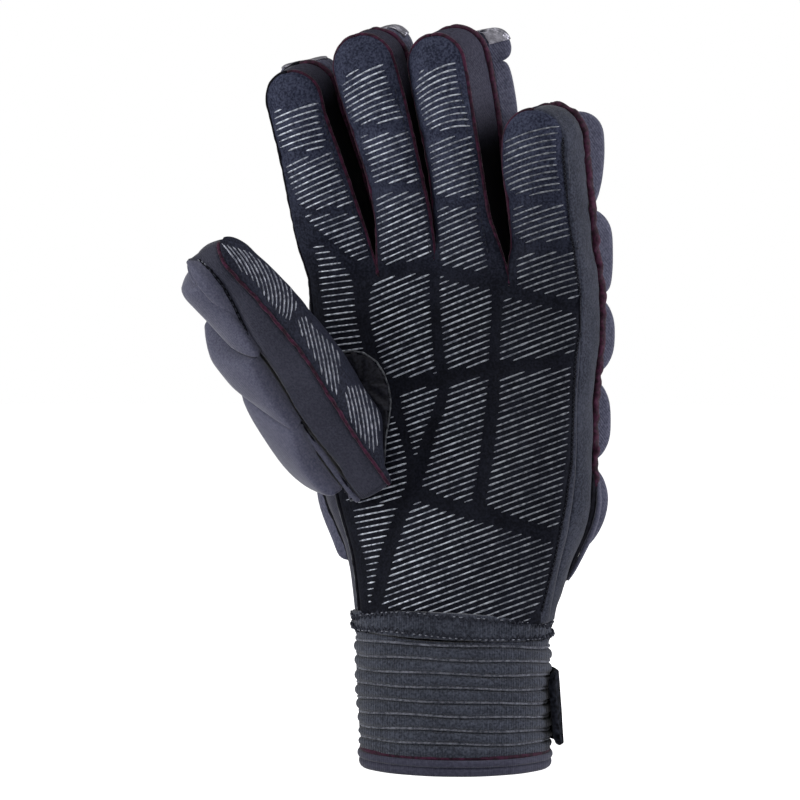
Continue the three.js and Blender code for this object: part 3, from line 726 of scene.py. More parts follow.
# The rooms inside the hand and the thumb, which are cut out of what reaches into them
HAND_ROOM_STEPS = (30, 64)  # up the hand, across it
THUMB_ROOM_STEPS = (60, 16)  # along the thumb, across it


def grown(rings, by):
    centre = rings.mean(axis=1, keepdims=True)
    return rings + unit(rings - centre) * by


def filled(rings):
    """A closed body through rings of points"""
    rows, columns = rings.shape[:2]
    k = np.arange(rows * columns).reshape(rows, columns)
    after = np.roll(k, -1, axis=1)
    quads = np.stack([k[:-1], after[:-1], after[1:], k[1:]], -1).reshape(-1, 4).tolist()
    return rings.reshape(-1, 3), quads + [k[0][::-1].tolist(), k[-1].tolist()]


def hand_filling(by):
    rows, places = HAND_ROOM_STEPS
    levels = np.linspace(0, 1, rows + 1)[:, None]
    columns = np.linspace(0, len(fingers), places + 1)[None, :]
    front = hand_point(-1, levels, columns)
    back = hand_point(1, levels, columns[:, ::-1])

    def side(a, b, way):
        middle = (a + b) / 2
        middle[:, 0] += way * SIDE_BULGE
        return middle[:, None]

    rings = [front, side(front[:, -1], back[:, 0], 1), back, side(front[:, 0], back[:, -1], -1)]
    return filled(grown(np.concatenate(rings, axis=1), by))


def thumb_filling(by):
    rows, places = THUMB_ROOM_STEPS
    along = np.linspace(-1, 2, rows + 1)[:, None]
    across = np.linspace(-1, 1, places + 1)[None, :]
    rings = [thumb.face(-1, along, across), thumb.face(1, along, across[:, ::-1])]
    return filled(grown(np.concatenate(rings, axis=1), by))


hand_room = hand_filling(GAP)
thumb_room = thumb_filling(GAP)

palm = new_object("palm_and_finger_fronts", *thick_sheet(palm_points, palm_quads, LEATHER, palm_lift))
cut_away(palm, *thumb_room)
finish_piece(palm, PALM, ["palm_panel"])


def second_look(obj, material, line, side):
    """Another look for what lies right (1) or left (-1) of a line of pixels, below its first pixel"""
    obj.data.materials.append(material)
    middles = np.zeros(len(obj.data.polygons) * 3)
    obj.data.polygons.foreach_get("center", middles)
    px, py = pixel_of(middles.reshape(-1, 3) / MM)
    line_x, line_y = zip(*line)
    beyond = ((px - np.interp(py, line_y, line_x)) * side > 0) & (py > line_y[0])
    obj.data.polygons.foreach_set("material_index", beyond.astype(np.int32))


second_look(palm, GUSSET, PALM_STITCH_LINE, 1)


def back_lift(points):
    return bumpy(points, 11, 0.3, 7.0)


back = new_object("back_of_hand", *thick_sheet(back_points, back_quads, NEOPRENE, back_lift))
finish_piece(back, FOAM, ["back_panel"])


# Side walls. A path has a front edge, a back edge and an outward direction for each of its rows.
WALL_STEPS = 12
JOINT_INSET = 0.15  # where a side meets the palm in one plain cloth


def wall_path(front, back, centre):
    depth = unit(back - front)
    out = (front + back) / 2 - centre
    return front, back, unit(out - depth * np.sum(out * depth, -1, keepdims=True))


def digit_side(digit, side, start=0.0, root=False):
    seam = GAP / 2 / (digit.at(1)["front_half"] * math.cos(TIP_ANGLE))
    parts = [np.linspace(start, 1, FINGER_STEPS + 1), np.linspace(1, 2, TIP_STEPS + 1)[1:]]
    if root:
        parts.insert(0, np.linspace(-1, 0, TIP_STEPS + 1)[:-1])
    along = np.concatenate(parts + ([] if root else [[2.0]]))
    across = np.full(len(along), float(side))
    if not root:
        across[-1] *= seam
    centre = digit.centre(np.clip(along, 0, 1))
    front, back, out = wall_path(digit.face(-1, along, across), digit.face(1, along, across), centre)
    if not root:
        out[-1] = digit.frame(1.0)[0]
    return front, back, out


def hand_side(column, levels):
    front, back = hand_point(-1, levels, column), hand_point(1, levels, column)
    centre = (front + back) / 2
    centre[:, 0] = 0
    return wall_path(front, back, centre)


def joined(*paths):
    return tuple(np.concatenate(parts) for parts in zip(*paths))


def turned(path):
    return tuple(part[::-1] for part in path)


def wall_skin(path, bulge, front_inset=FRONT_INSET):
    front, back, out = path
    depth = unit(back - front)
    start, end = front + depth * front_inset, back - depth * BACK_INSET
    share = np.linspace(0, 1, WALL_STEPS + 1)[None, :, None]
    bulge = np.broadcast_to(bulge, len(front))[:, None, None]
    points = lerp(start[:, None], end[:, None], share) + out[:, None] * bulge * 4 * share * (1 - share)
    return points.reshape(-1, 3), grid_faces(len(front), WALL_STEPS + 1)


LEVELS = np.linspace(0, 1, HAND_STEPS + 1)
hand_bulge = lerp(SIDE_BULGE, FINGER_BULGE, LEVELS[:-1])
little_path = joined(hand_side(4.0, LEVELS[:-1]), digit_side(digits["little"], 1))
index_path = joined(turned(digit_side(digits["index"], -1)), turned(hand_side(0.0, LEVELS[:-1])))
finger_rows = len(little_path[0]) - HAND_STEPS
little_bulge = np.concatenate([hand_bulge, np.full(finger_rows, FINGER_BULGE)])
FOURCHETTE_START = 0.04  # a strip between two fingers starts this far up them


def wall_lift(points):
    return bumpy(points, 9, 0.5, 2.0) + bumpy(points, 4, 0.15, 5.0)


def wall(name, path, bulge, material, node, front_inset=FRONT_INSET):
    points, quads = wall_skin(path, bulge, front_inset)
    obj = new_object(name, *thick_sheet(points, quads, LEATHER, wall_lift))
    if node == "index_side_gusset":
        cut_away(obj, *thumb_room)
    return finish_piece(obj, material, [node])


wall(
    "little_gusset_cloth", little_path, little_bulge, GUSSET, "little_side_gusset", JOINT_INSET)
wall("index_gusset_cloth", index_path, little_bulge[::-1], WALL, "index_side_gusset")
crotch_paths = {}
for finger, after in zip(fingers, fingers[1:]):
    column = float(after.column)
    level = np.ones(1)
    crotch = (hand_point(-1, level, column), hand_point(1, level, column), np.array([[0.0, 0.0, 1.0]]))
    down = turned(digit_side(after, -1, FOURCHETTE_START))
    up = digit_side(finger, 1, FOURCHETTE_START)
    path = joined(down, crotch, up)
    bulge = np.full(len(path[0]), FINGER_BULGE)
    bulge[len(down[0])] = 0
    node = f"{finger.name}_{after.name}_fourchette"
    crotch_paths[node] = path
    material = LITTLE_GAP_WALL if after.name == "little" else GAP_WALL
    wall(node + "_cloth", path, bulge, material, node)


# The thumb
def thumb_piece(name, points, quads, thickness, material, slot, node, lift):
    obj = new_object(name, *thick_sheet(points, quads, thickness, lift))
    cut_away(obj, *hand_room)
    return finish_piece(obj, material, [node])


def thumb_lift(points):
    return bumpy(points, 12, 0.6, 4.0) + bumpy(points, 5, 0.18, 8.0)


THUMB_STEPS = 75
THUMB_STRIPS = 20
end_steps = np.linspace(0, 1, TIP_STEPS + 1)[1:]
thumb_along = np.concatenate([-end_steps[::-1], np.linspace(0, 1, THUMB_STEPS + 1), 1 + end_steps])
thumb_across = np.linspace(-1, 1, THUMB_STRIPS + 1)
for sign, name, thickness, material, slot, node in (
    (-1, "thumb_front_cloth", LEATHER, THUMB_FRONT, "palm_leather", "thumb_front_panel"),
    (1, "thumb_back_cloth", NEOPRENE, THUMB_FOAM, "foam_cloth", "thumb_back_panel"),
):
    grid = thumb.face(sign, thumb_along[:, None], thumb_across[None, :])
    quads = grid_faces(*grid.shape[:2])
    quads = quads[:, ::-1] if sign > 0 else quads
    skin = (grid.reshape(-1, 3), quads)
    if sign < 0:
        thumb_tree = lifted_tree(*skin, thumb_lift)
    thumb_piece(name, *skin, thickness, material, slot, node, thumb_lift)
right_side = digit_side(thumb, 1, root=True)
left_side = turned(digit_side(thumb, -1, root=True))
thumb_loop = joined(right_side, left_side, tuple(part[:1] for part in right_side))

# The sewn channel between the thumb's smooth side and its pads, and the pads' creases, by pixel
THUMB_CHANNEL = [
    (199, 260), (210, 270), (222, 285), (233, 304), (241, 321), (250, 339), (258, 352), (268, 369),
    (279, 388), (287, 404), (292, 415), (304, 430), (315, 446), (329, 461), (338, 472), (340, 484),
    (338, 490),
]
THUMB_CHANNEL_PALE = 0.14  # share of the channel, at the thumb's tip, that is sewn in pale thread
THUMB_GROOVE = 1.3
THUMB_GROOVE_WIDTH = 4.5  # pixels
THUMB_TIP_BULGE = 2.4  # the tip's foam beyond the channel
THUMB_TIP_EDGE = (2, 9)  # pixels from the channel over which it rises
THUMB_TIP_FADE = (282, 330)  # pixel rows over which it passes into the pads
THUMB_LEFT_SIDE = -20  # the pads are on the thumb's side with x below this


def thumb_wall_lift(points):
    px, py = pixel_of(points)
    facing = points[:, 0] < THUMB_LEFT_SIDE
    channel_x, channel_y = zip(*THUMB_CHANNEL)
    beyond = np.interp(py, channel_y, channel_x) - px
    padded = smoothstep(beyond, *THUMB_TIP_EDGE) * (1 - smoothstep(py, *THUMB_TIP_FADE))
    groove = np.exp(-((off_line(px, py, THUMB_CHANNEL) / THUMB_GROOVE_WIDTH) ** 2))
    return thumb_lift(points) + facing * (THUMB_TIP_BULGE * padded - THUMB_GROOVE * groove)


wall_mesh = wall_skin(thumb_loop, FINGER_BULGE)
thumb_wall = thumb_piece(
    "thumb_wall_cloth", *wall_mesh, LEATHER, WALL, "side_cloth", "thumb_side_wall", thumb_wall_lift)
second_look(thumb_wall, THUMB_FOAM, THUMB_CHANNEL, -1)


# Foam pads. A finger's row has from, to, and how far it hangs out towards the little and the index finger.
FINGER_PADS = {
    "index": [[0.1, 0.42, 0.4, 1.8], [0.45, 0.86, 0.4, 1.8], [0.9, 1.7, 0.4, 1.8]],
    "middle": [[0.1, 0.42, 0.4, 0.4], [0.45, 0.86, 0.4, 0.4], [0.9, 1.7, 0.8, 0.4]],
    "ring": [[0.1, 0.42, 1.4, 0.4], [0.45, 0.915, 4.2, 0.4], [0.885, 1.5, 6.2, 0.4]],
    "little": [[-0.02, 0.43, PAD_OVERHANG + 1.2, 0.4], [0.46, 1.58, PAD_OVERHANG + 0.8, 0.4]],
}
# How much of their sideways bulge some pads keep at their lower and upper ends. The others keep none.
SIDE_KEEP = {"ring_pad_2": (0, 1.3), "ring_pad_3": (1.25, 0.5), "hand_lower_pad_1": (2.1, 0)}
# From, to, the ends' slants, height, and how much of its height the pad keeps at each end
THUMB_PADS = [
    [-0.02, 0.55, 0, 0.27, 15.5, 0, 0.76],
    [0.57, 0.77, 0.27, 0.16, 14.5, 0.78, 0.72],
    [0.79, 1.5, 0.16, 0.06, 5.5, 0.74, 0],
]
SLANT_END = -0.25
# The pads wrap the thumb's smooth side by this much at these places along it
THUMB_SKIRT = [
    (0.0, 0.2), (0.2, 1.9), (0.3, 2.4), (0.6, 3.1), (0.85, 6.6), (1.0, 7.6), (1.2, 7.0), (1.5, 5.5),
]
SKIRT_STAND = (0.9, 2.8)  # how far a skirt's base and top stand off the side
SKIRT_SINK = 1.4  # the last pad's upper end goes this far into the thumb's tip
INDEX_OVERHANG = 3.0  # how far the index side's pads hang out
# The little finger's pads hang out this much more
HAND_PAD_SPREAD = {"knuckle": 2.0, "middle": 2.4, "lower": 1.0}
# The share of the hand by which the index side's last pad goes lower
LOWER_REACH = {"hand_lower_pad_1": 0.06}
PAD_ROWS = {"knuckle": [0.755, 0.985], "middle": [0.49, 0.735], "lower": [0.2, 0.47]}
PAD_STEPS = 26
# A pad's rise across and along it is (1 - t ** first) ** second. The last pair rounds the corners of a pad
# that is widest at an end.
PAD_ACROSS = (3.4, 0.55)
PAD_ALONG = (2.7, 0.58)
PAD_CORNER = (12, 0.5)
ROLL_POWER = 3  # the larger, the nearer to its rim a pad bulges sideways
SKIRT_LEAN = 0.75  # how much a pad's height falls off over its skirt


def dome(t, powers):
    return (1 - np.abs(t) ** powers[0]) ** powers[1]


def pad_surfaces(place, height, free, keep=(0, 0), skirt=None, middle=None, side_keep=(0, 0)):
    """A pillow over part of a surface: its top and its base, as grids of points. It keeps a share of its
    height at its lower and upper ends, and a share of its sideways bulge. A skirt of it may hang over the
    surface's edge, away from a middle line."""
    spread = np.sin(np.linspace(-1, 1, PAD_STEPS + 1) * np.pi / 2)
    u, v = spread[None, :], spread[:, None]
    surface = place(u, v)
    rows, columns = surface.shape[:2]
    normals = vertex_normals(surface.reshape(-1, 3), grid_faces(rows, columns)).reshape(surface.shape)
    sideways = unit(place(np.ones_like(v), v) - place(-np.ones_like(v), v))
    kept = np.where(v < 0, keep[0], keep[1])
    rounded = dome(v, PAD_ALONG)
    full = kept + (1 - kept) * rounded
    side_kept = np.where(v < 0, side_keep[0], side_keep[1])
    corner = np.where(side_kept > 1, dome(v, PAD_CORNER), 1)
    side_full = (side_kept + (1 - side_kept) * np.maximum(rounded, kept)) * corner
    lean = dome(u, PAD_ACROSS)
    if skirt is not None:
        lean = np.where(u > 0, 1 - SKIRT_LEAN * smoothstep(u, 0.2, 1.0), lean)
    rise = PAD_EDGE + (height - PAD_EDGE) * lean * full
    roll = np.where(u < 0, -free[0], free[1]) * side_full * np.sin(np.pi * np.abs(u) ** ROLL_POWER)
    base = surface + normals * PAD_SEAT
    top = base + normals * rise[..., None] + sideways * roll[..., None]
    if skirt is not None:
        hang = smoothstep(u, 0.5, 1) * np.ones_like(v)
        outward = unit(surface[:, -1:] - middle(v))
        sunk = smoothstep(v, 0.5, 1.0) * (keep[1] == 0)
        drop = normals * (hang * skirt(v) + SKIRT_SINK * sunk)[..., None]
        base, top = base - drop, top - drop
        base = base + outward * (hang * SKIRT_STAND[0] * (1 - 1.6 * sunk))[..., None]
        top = top + outward * (hang * SKIRT_STAND[1] * (1 - sunk))[..., None]
    return top, base


def closed_pad(top, base):
    rows, columns = top.shape[:2]
    count = rows * columns
    faces = grid_faces(rows, columns)
    start, end = border_edges(count, faces)
    rim = np.stack([end, start, start + count, end + count], -1)
    points = np.concatenate([top.reshape(-1, 3), base.reshape(-1, 3)])
    return points, np.concatenate([faces, faces[:, ::-1] + count, rim])


def digit_place(digit, start, end, slant=(0, 0)):
    def place(u, v):
        share = (v + 1) / 2
        along = lerp(start, end, share) - np.maximum(u, SLANT_END) * lerp(slant[0], slant[1], share)
        return digit.face(1, along, -u * PAD_WIDTH + 0 * v)

    return place


def hand_place(levels, columns):
    def place(u, v):
        level, column = lerp(*levels, (v + 1) / 2), lerp(columns[1], columns[0], (u + 1) / 2)
        return hand_point(1, level, column)

    return place


CLOTH_SCALE = 4  # the pads are simulated this much larger, as cloth is stiff for its size when small
CLOTH_START = 0.93  # the share of its height that a pad starts with
CLOTH_PRESSURE = 4
CLOTH_SPARE = -0.06  # the cloth shrinks by this share, so it grows
CLOTH_FRAMES = 20
CLOTH_REACH = 0.9  # no point moves further than this
HELD_ROWS = 1  # rows of points at a pad's rim that stay where they are


def swollen(pads):
    """The same pads after Blender's cloth has blown up their outside, held round the rim"""
    scene = bpy.context.scene
    starts = [base + (top - base) * CLOTH_START for top, base in pads.values()]
    shape = starts[0].shape[:2]
    size = shape[0] * shape[1]
    points = np.concatenate([start.reshape(-1, 3) for start in starts])
    quads = np.concatenate([grid_faces(*shape, size * k) for k in range(len(starts))])
    obj = new_object("pad_cloth", points * CLOTH_SCALE, quads)
    held = np.ones(shape, bool)
    held[HELD_ROWS:-HELD_ROWS, HELD_ROWS:-HELD_ROWS] = False
    held = np.flatnonzero(np.tile(held.reshape(-1), len(starts)))
    obj.vertex_groups.new(name="held").add(held.tolist(), 1.0, "REPLACE")
    cloth = obj.modifiers.new("cloth", "CLOTH")
    cloth.settings.vertex_group_mass = "held"
    cloth.settings.use_pressure = True
    cloth.settings.uniform_pressure_force = CLOTH_PRESSURE
    cloth.settings.effector_weights.gravity = 0
    cloth.settings.shrink_min = CLOTH_SPARE
    cloth.collision_settings.use_collision = False
    cloth.point_cache.frame_start, cloth.point_cache.frame_end = 1, CLOTH_FRAMES
    for number in range(1, CLOTH_FRAMES + 1):
        scene.frame_set(number)
    seen = obj.evaluated_get(bpy.context.evaluated_depsgraph_get())
    found = np.zeros(len(points) * 3)
    seen.data.vertices.foreach_get("co", found)
    moved = found.reshape(-1, 3) / MM / CLOTH_SCALE - points
    far = np.maximum(np.linalg.norm(moved, axis=-1, keepdims=True), 1e-6)
    moved *= np.minimum(1, CLOTH_REACH / far)
    bpy.data.objects.remove(obj)
    scene.frame_set(1)
    tops = (points + moved).reshape(len(starts), *shape, 3)
    return {node: (top, base) for (node, (_, base)), top in zip(pads.items(), tops)}


pads = {}
for name, rows in FINGER_PADS.items():
    for i, (start, end, little_side, index_side) in enumerate(rows):
        node = f"{name}_pad_{i + 1}"
        place = digit_place(digits[name], start, end)
        free = (little_side, index_side)
        pads[node] = pad_surfaces(place, HAND_PAD, free, side_keep=SIDE_KEEP.get(node, (0, 0)))
for i, (start, end, from_slant, to_slant, height, *keep) in enumerate(THUMB_PADS):
    def along_thumb(v):
        return lerp(start, end, (v + 1) / 2) - to_slant

    def skirt(v):
        return np.interp(along_thumb(v), *zip(*THUMB_SKIRT))

    def middle(v):
        return thumb.face(1, np.minimum(along_thumb(v), 1), 0 * v)

    place = digit_place(thumb, start, end, (from_slant, to_slant))
    free = (PAD_OVERHANG, PAD_OVERHANG)
    pads[f"thumb_pad_{i + 1}"] = pad_surfaces(place, height, free, keep, skirt, middle)
for name, (start, end) in PAD_ROWS.items():
    for finger in fingers:
        columns = (finger.column + PAD_SEAM, finger.column + 1 - PAD_SEAM)
        outer = PAD_OVERHANG + HAND_PAD_SPREAD[name]
        free = (outer * (finger.name == "little"), INDEX_OVERHANG * (finger.name == "index"))
        node = f"hand_{name}_pad_{finger.column + 1}"
        place = hand_place((start - LOWER_REACH.get(node, 0), end), columns)
        pads[node] = pad_surfaces(place, HAND_PAD, free, side_keep=SIDE_KEEP.get(node, (0, 0)))

pads = swollen(pads)
for node, (top, base) in pads.items():
    obj = new_object(node + "_foam", *closed_pad(top, base))
    if node.startswith("thumb"):
        cut_away(obj, *hand_room)
    finish_piece(obj, THUMB_FOAM if node.startswith("thumb") else FOAM, [node])


# Silvery patches over the last pads: where each starts along the pad, and its first column across it
TIP_PATCHES = {"index": (0.80, 3), "middle": (0.55, 1), "ring": (0.50, 0)}
PATCH_END = 0.965
PATCH_THICKNESS = 0.5


def patch_lift(points):
    return PATCH_THICKNESS + bumpy(points, 4, 0.2, 12.0)


for name, (start, column) in TIP_PATCHES.items():
    top, _ = pads[f"{name}_pad_3"]
    patch = top[int(start * PAD_STEPS):int(round(PATCH_END * PAD_STEPS)) + 1, column:-3]
    patch_mesh = thick_sheet(patch.reshape(-1, 3), grid_faces(*patch.shape[:2]), PATCH_THICKNESS, patch_lift)
    finish_piece(new_object(f"{name}_tip_patch", *patch_mesh), SILVER)


# The cuff
CUFF_SIDES = 168
CUFF_LEAN = 1.2  # how far its upper end stands to the thumb's side


def oval_point(angle, outward, height):
    share = height / CUFF_TOP
    x = np.cos(angle) * (CUFF_HALF_WIDTH + (CUFF_FLARE - CUFF_LEAN) * share + outward) - CUFF_LEAN * share
    y = np.sin(angle) * (CUFF_HALF_DEPTH + outward)
    return np.stack([x, y, height - CUFF_SLANT * x * share], -1)


def oval_ring(profile, wave=None):
    """A ring whose section is a closed profile of [outward, height]. wave gives each point of the section
    a small change of both, all the way round."""
    angles = np.linspace(0, 2 * np.pi, CUFF_SIDES, endpoint=False)
    profile = np.array(profile)
    outward = np.repeat(profile[:, :1], CUFF_SIDES, axis=1)
    height = np.repeat(profile[:, 1:], CUFF_SIDES, axis=1)
    if wave is not None:
        more_out, more_up = wave(angles[None, :], outward, height)
        outward, height = outward + more_out, height + more_up
    points = oval_point(angles[None, :], outward, height)
    rows = len(profile)
    k = np.arange(rows * CUFF_SIDES).reshape(rows, CUFF_SIDES)
    below, right = np.roll(k, -1, axis=0), np.roll(k, -1, axis=1)
    corner = np.roll(below, -1, axis=1)
    return points.reshape(-1, 3), np.stack([k, right, corner, below], -1).reshape(-1, 4)


SLEEVE_BOTTOM = HEM_HEIGHT + PIPING + 2 * GAP
SLEEVE_TOP = CUFF_TOP - SEAM_BAND - GAP
RIB_PITCH = 4.7  # the topmost rib goes in under the seam band
RIB_START = -1.1
RIB_SAG = 2.4  # how far the ribs sink from the front's middle to its ends
# One rib from its bottom up: a groove, a thin welt, and the round body
RIB_SHAPE = [
    (0.00, -0.50), (0.05, -0.42), (0.09, -0.05), (0.14, 0.10), (0.19, 0.08), (0.23, 0.16), (0.30, 0.56),
    (0.42, 0.98), (0.56, 1.12), (0.70, 1.05), (0.82, 0.80), (0.91, 0.34), (0.97, -0.20),
]
SLEEVE_HANG = 0.35  # the knit's folded edge hangs this far over the piping
WELT_SHARE = 0.13  # a welt's place in its rib
WELT_DEPTH = 0.16
WELT_RADIUS = 0.4


def front_share(angle):
    """1 at the middle of the front, 0 at its ends and all over the back"""
    return np.clip(-np.sin(angle), 0, 1) ** 1.5


def cuff_wave(angle, outward, height):
    shape = 0.22 * np.sin(3 * angle + 0.16 * height) + 0.16 * np.sin(7 * angle - 0.3 * height)
    free = smoothstep(height, SLEEVE_BOTTOM, SLEEVE_BOTTOM + 2)
    rise = 0.2 * np.sin(5 * angle + 0.3 * height) + 0.3 * np.sin(2 * angle + 0.05 * height)
    stretched = smoothstep(height, SLEEVE_BOTTOM, SLEEVE_BOTTOM + 9)
    stretched = stretched * (1 - smoothstep(height, SLEEVE_TOP - 1.4, SLEEVE_TOP))
    rise = rise * free - RIB_SAG * (1 - front_share(angle)) * stretched
    return np.where(outward > -1, shape * 0.8, 0), rise * np.ones_like(outward)


sleeve = [
    (RIB_DEPTH * depth, SLEEVE_BOTTOM + RIB_START + RIB_PITCH * (rib + share))
    for rib in range(RIBS + 1) for share, depth in RIB_SHAPE
]
sleeve = [(depth, height) for depth, height in sleeve if SLEEVE_BOTTOM < height < SLEEVE_TOP - 0.2]
sleeve = [(0.2, SLEEVE_BOTTOM - SLEEVE_HANG), (0.75, SLEEVE_BOTTOM - SLEEVE_HANG)] + sleeve
sleeve += [(0, SLEEVE_TOP), (-KNIT, SLEEVE_TOP), (-KNIT, SLEEVE_BOTTOM)]
obj = new_object("cuff_sleeve_knit", *oval_ring(sleeve, cuff_wave))
finish_piece(obj, KNITTED, ["cuff_sleeve"])
angle = np.linspace(0, 2 * np.pi, 3 * CUFF_SIDES, endpoint=False)
welts = Bundle()
for rib in range(1, RIBS + 1):
    level = SLEEVE_BOTTOM + RIB_START + RIB_PITCH * (rib + WELT_SHARE) + 0 * angle
    more_out, more_up = cuff_wave(angle, 0 * angle, level)
    depth = RIB_DEPTH * WELT_DEPTH + more_out + 0.1 * np.sin(31 * angle + rib)
    path = oval_point(angle, depth, level + more_up)
    welts.tube(path, unit(path * [1, 1, 0]), WELT_RADIUS, WELT_RADIUS, circle(8), closed=True)

BAND_BOTTOM = SLEEVE_TOP + GAP
BAND_TOP = CUFF_TOP - GAP
BAND_MIDDLE = (BAND_BOTTOM + BAND_TOP) / 2
band = [
    (0.4, BAND_BOTTOM), (1.0, BAND_BOTTOM + 0.4), (1.4, BAND_BOTTOM + 1.1), (1.2, BAND_BOTTOM + 1.9),
    (0.8, BAND_MIDDLE - 0.3), (0.8, BAND_MIDDLE + 0.3), (1.15, BAND_TOP - 2.0), (1.35, BAND_TOP - 1.2),
    (0.9, BAND_TOP - 0.4), (0.3, BAND_TOP), (-KNIT, BAND_TOP), (-KNIT, BAND_BOTTOM),
]
BAND_RISE = 3.2  # the band's upper edge stands this much higher at the front's middle


def band_height(angle):
    return 0.45 * np.sin(3 * angle + 1.1) + 0.3 * np.sin(5 * angle)


def band_top(angle):
    return BAND_RISE * front_share(angle)


def band_wave(angle, outward, height):
    free = np.where(outward > -1, 1.0, 0.0)
    within = smoothstep(height, BAND_BOTTOM - 0.1, BAND_BOTTOM + 1.5)
    within = within * (1 - smoothstep(height, BAND_TOP - 1.5, BAND_TOP + 0.1))
    out = 0.3 * np.sin(6 * angle + height) + 0.22 * np.sin(17 * angle - 2 * height)
    out = out + 0.12 * np.sin(41 * angle)
    upper = smoothstep(height, BAND_MIDDLE - 0.5, BAND_TOP - 1.0)
    return out * free, (band_height(angle) * within + band_top(angle) * upper) * free


def piping_wave(angle, outward, height):
    return 0.12 * np.sin(9 * angle) + 0 * outward, 0 * height + 0 * angle


def hem_wave(angle, outward, height):
    return np.where(outward > -1, 0.15 * np.sin(4 * angle + 1) + 0.08 * np.sin(13 * angle), 0), 0 * height


band_mesh = oval_ring(band, band_wave)
band_tree = tree_of(*band_mesh)
obj = new_object("cuff_seam_band_knit", *band_mesh)
finish_piece(obj, KNITTED, ["cuff_seam_band"])

PIPING_MIDDLE = HEM_HEIGHT + GAP + PIPING / 2
piping = [(0.9 * math.cos(a), PIPING_MIDDLE + 0.9 * PIPING * math.sin(a)) for a in np.linspace(-1.5, 1.5, 9)]
piping += [(-KNIT, PIPING_MIDDLE + PIPING / 2), (-KNIT, PIPING_MIDDLE - PIPING / 2)]
obj = new_object("hem_piping_cord", *oval_ring(piping, piping_wave))
finish_piece(obj, BINDING, ["hem_piping"])
# The hem's two bands, with a groove between them
hem = [
    (-0.3, 0.0), (0.3, 0.12), (0.8, 0.5), (1.1, 1.1), (1.2, 1.8), (1.05, 2.5), (0.6, 2.9), (0.35, 3.05),
    (0.7, 3.2), (1.3, 3.5), (1.55, 4.0), (1.55, 4.6), (1.4, 5.1), (1.0, HEM_HEIGHT + 0.25), (0.2, HEM_HEIGHT),
    (-KNIT, HEM_HEIGHT), (-KNIT, 0.3), (-KNIT + 0.4, 0.0),
]
obj = new_object("cuff_hem_bands", *oval_ring(hem, hem_wave))
finish_piece(obj, HEM, ["cuff_hem"])

# The strap round the back of the wrist
STRAP_STEPS = (120, 24)  # along it, across it
STRAP_CORNER = 2.2
STRAP_CORNER_TIGHT = 60  # the larger, the nearer to its end the rounding of its corners starts
share = np.linspace(0, 1, STRAP_STEPS[0] + 1)[:, None]
row = np.linspace(0, 1, STRAP_STEPS[1] + 1)[None, :]
stand_off = STRAP["stand_off"] * (1 - smoothstep(share, 0, 0.3)) * lerp(1.15, 0.0, row)  # its loose end
angle = np.radians(lerp(STRAP["from"], STRAP["to"], share)) + 0 * row
lift = RIB_DEPTH + GAP + stand_off + STRAP["thickness"]
corner = STRAP_CORNER * np.exp(-((share * STRAP_CORNER_TIGHT) ** 2)) * (2 * row - 1) ** 4
strap = oval_point(angle, lift, lerp(STRAP["bottom"], STRAP["top"], row) - corner * np.sign(2 * row - 1))
quads = grid_faces(*strap.shape[:2])[:, ::-1]


def strap_lift(points):
    return bumpy(points, 7, 0.25, 9.0)


strap_mesh = thick_sheet(strap.reshape(-1, 3), quads, STRAP["thickness"], strap_lift)
finish_piece(new_object("closing_strap_felt", *strap_mesh), FELT, ["closing_strap"])

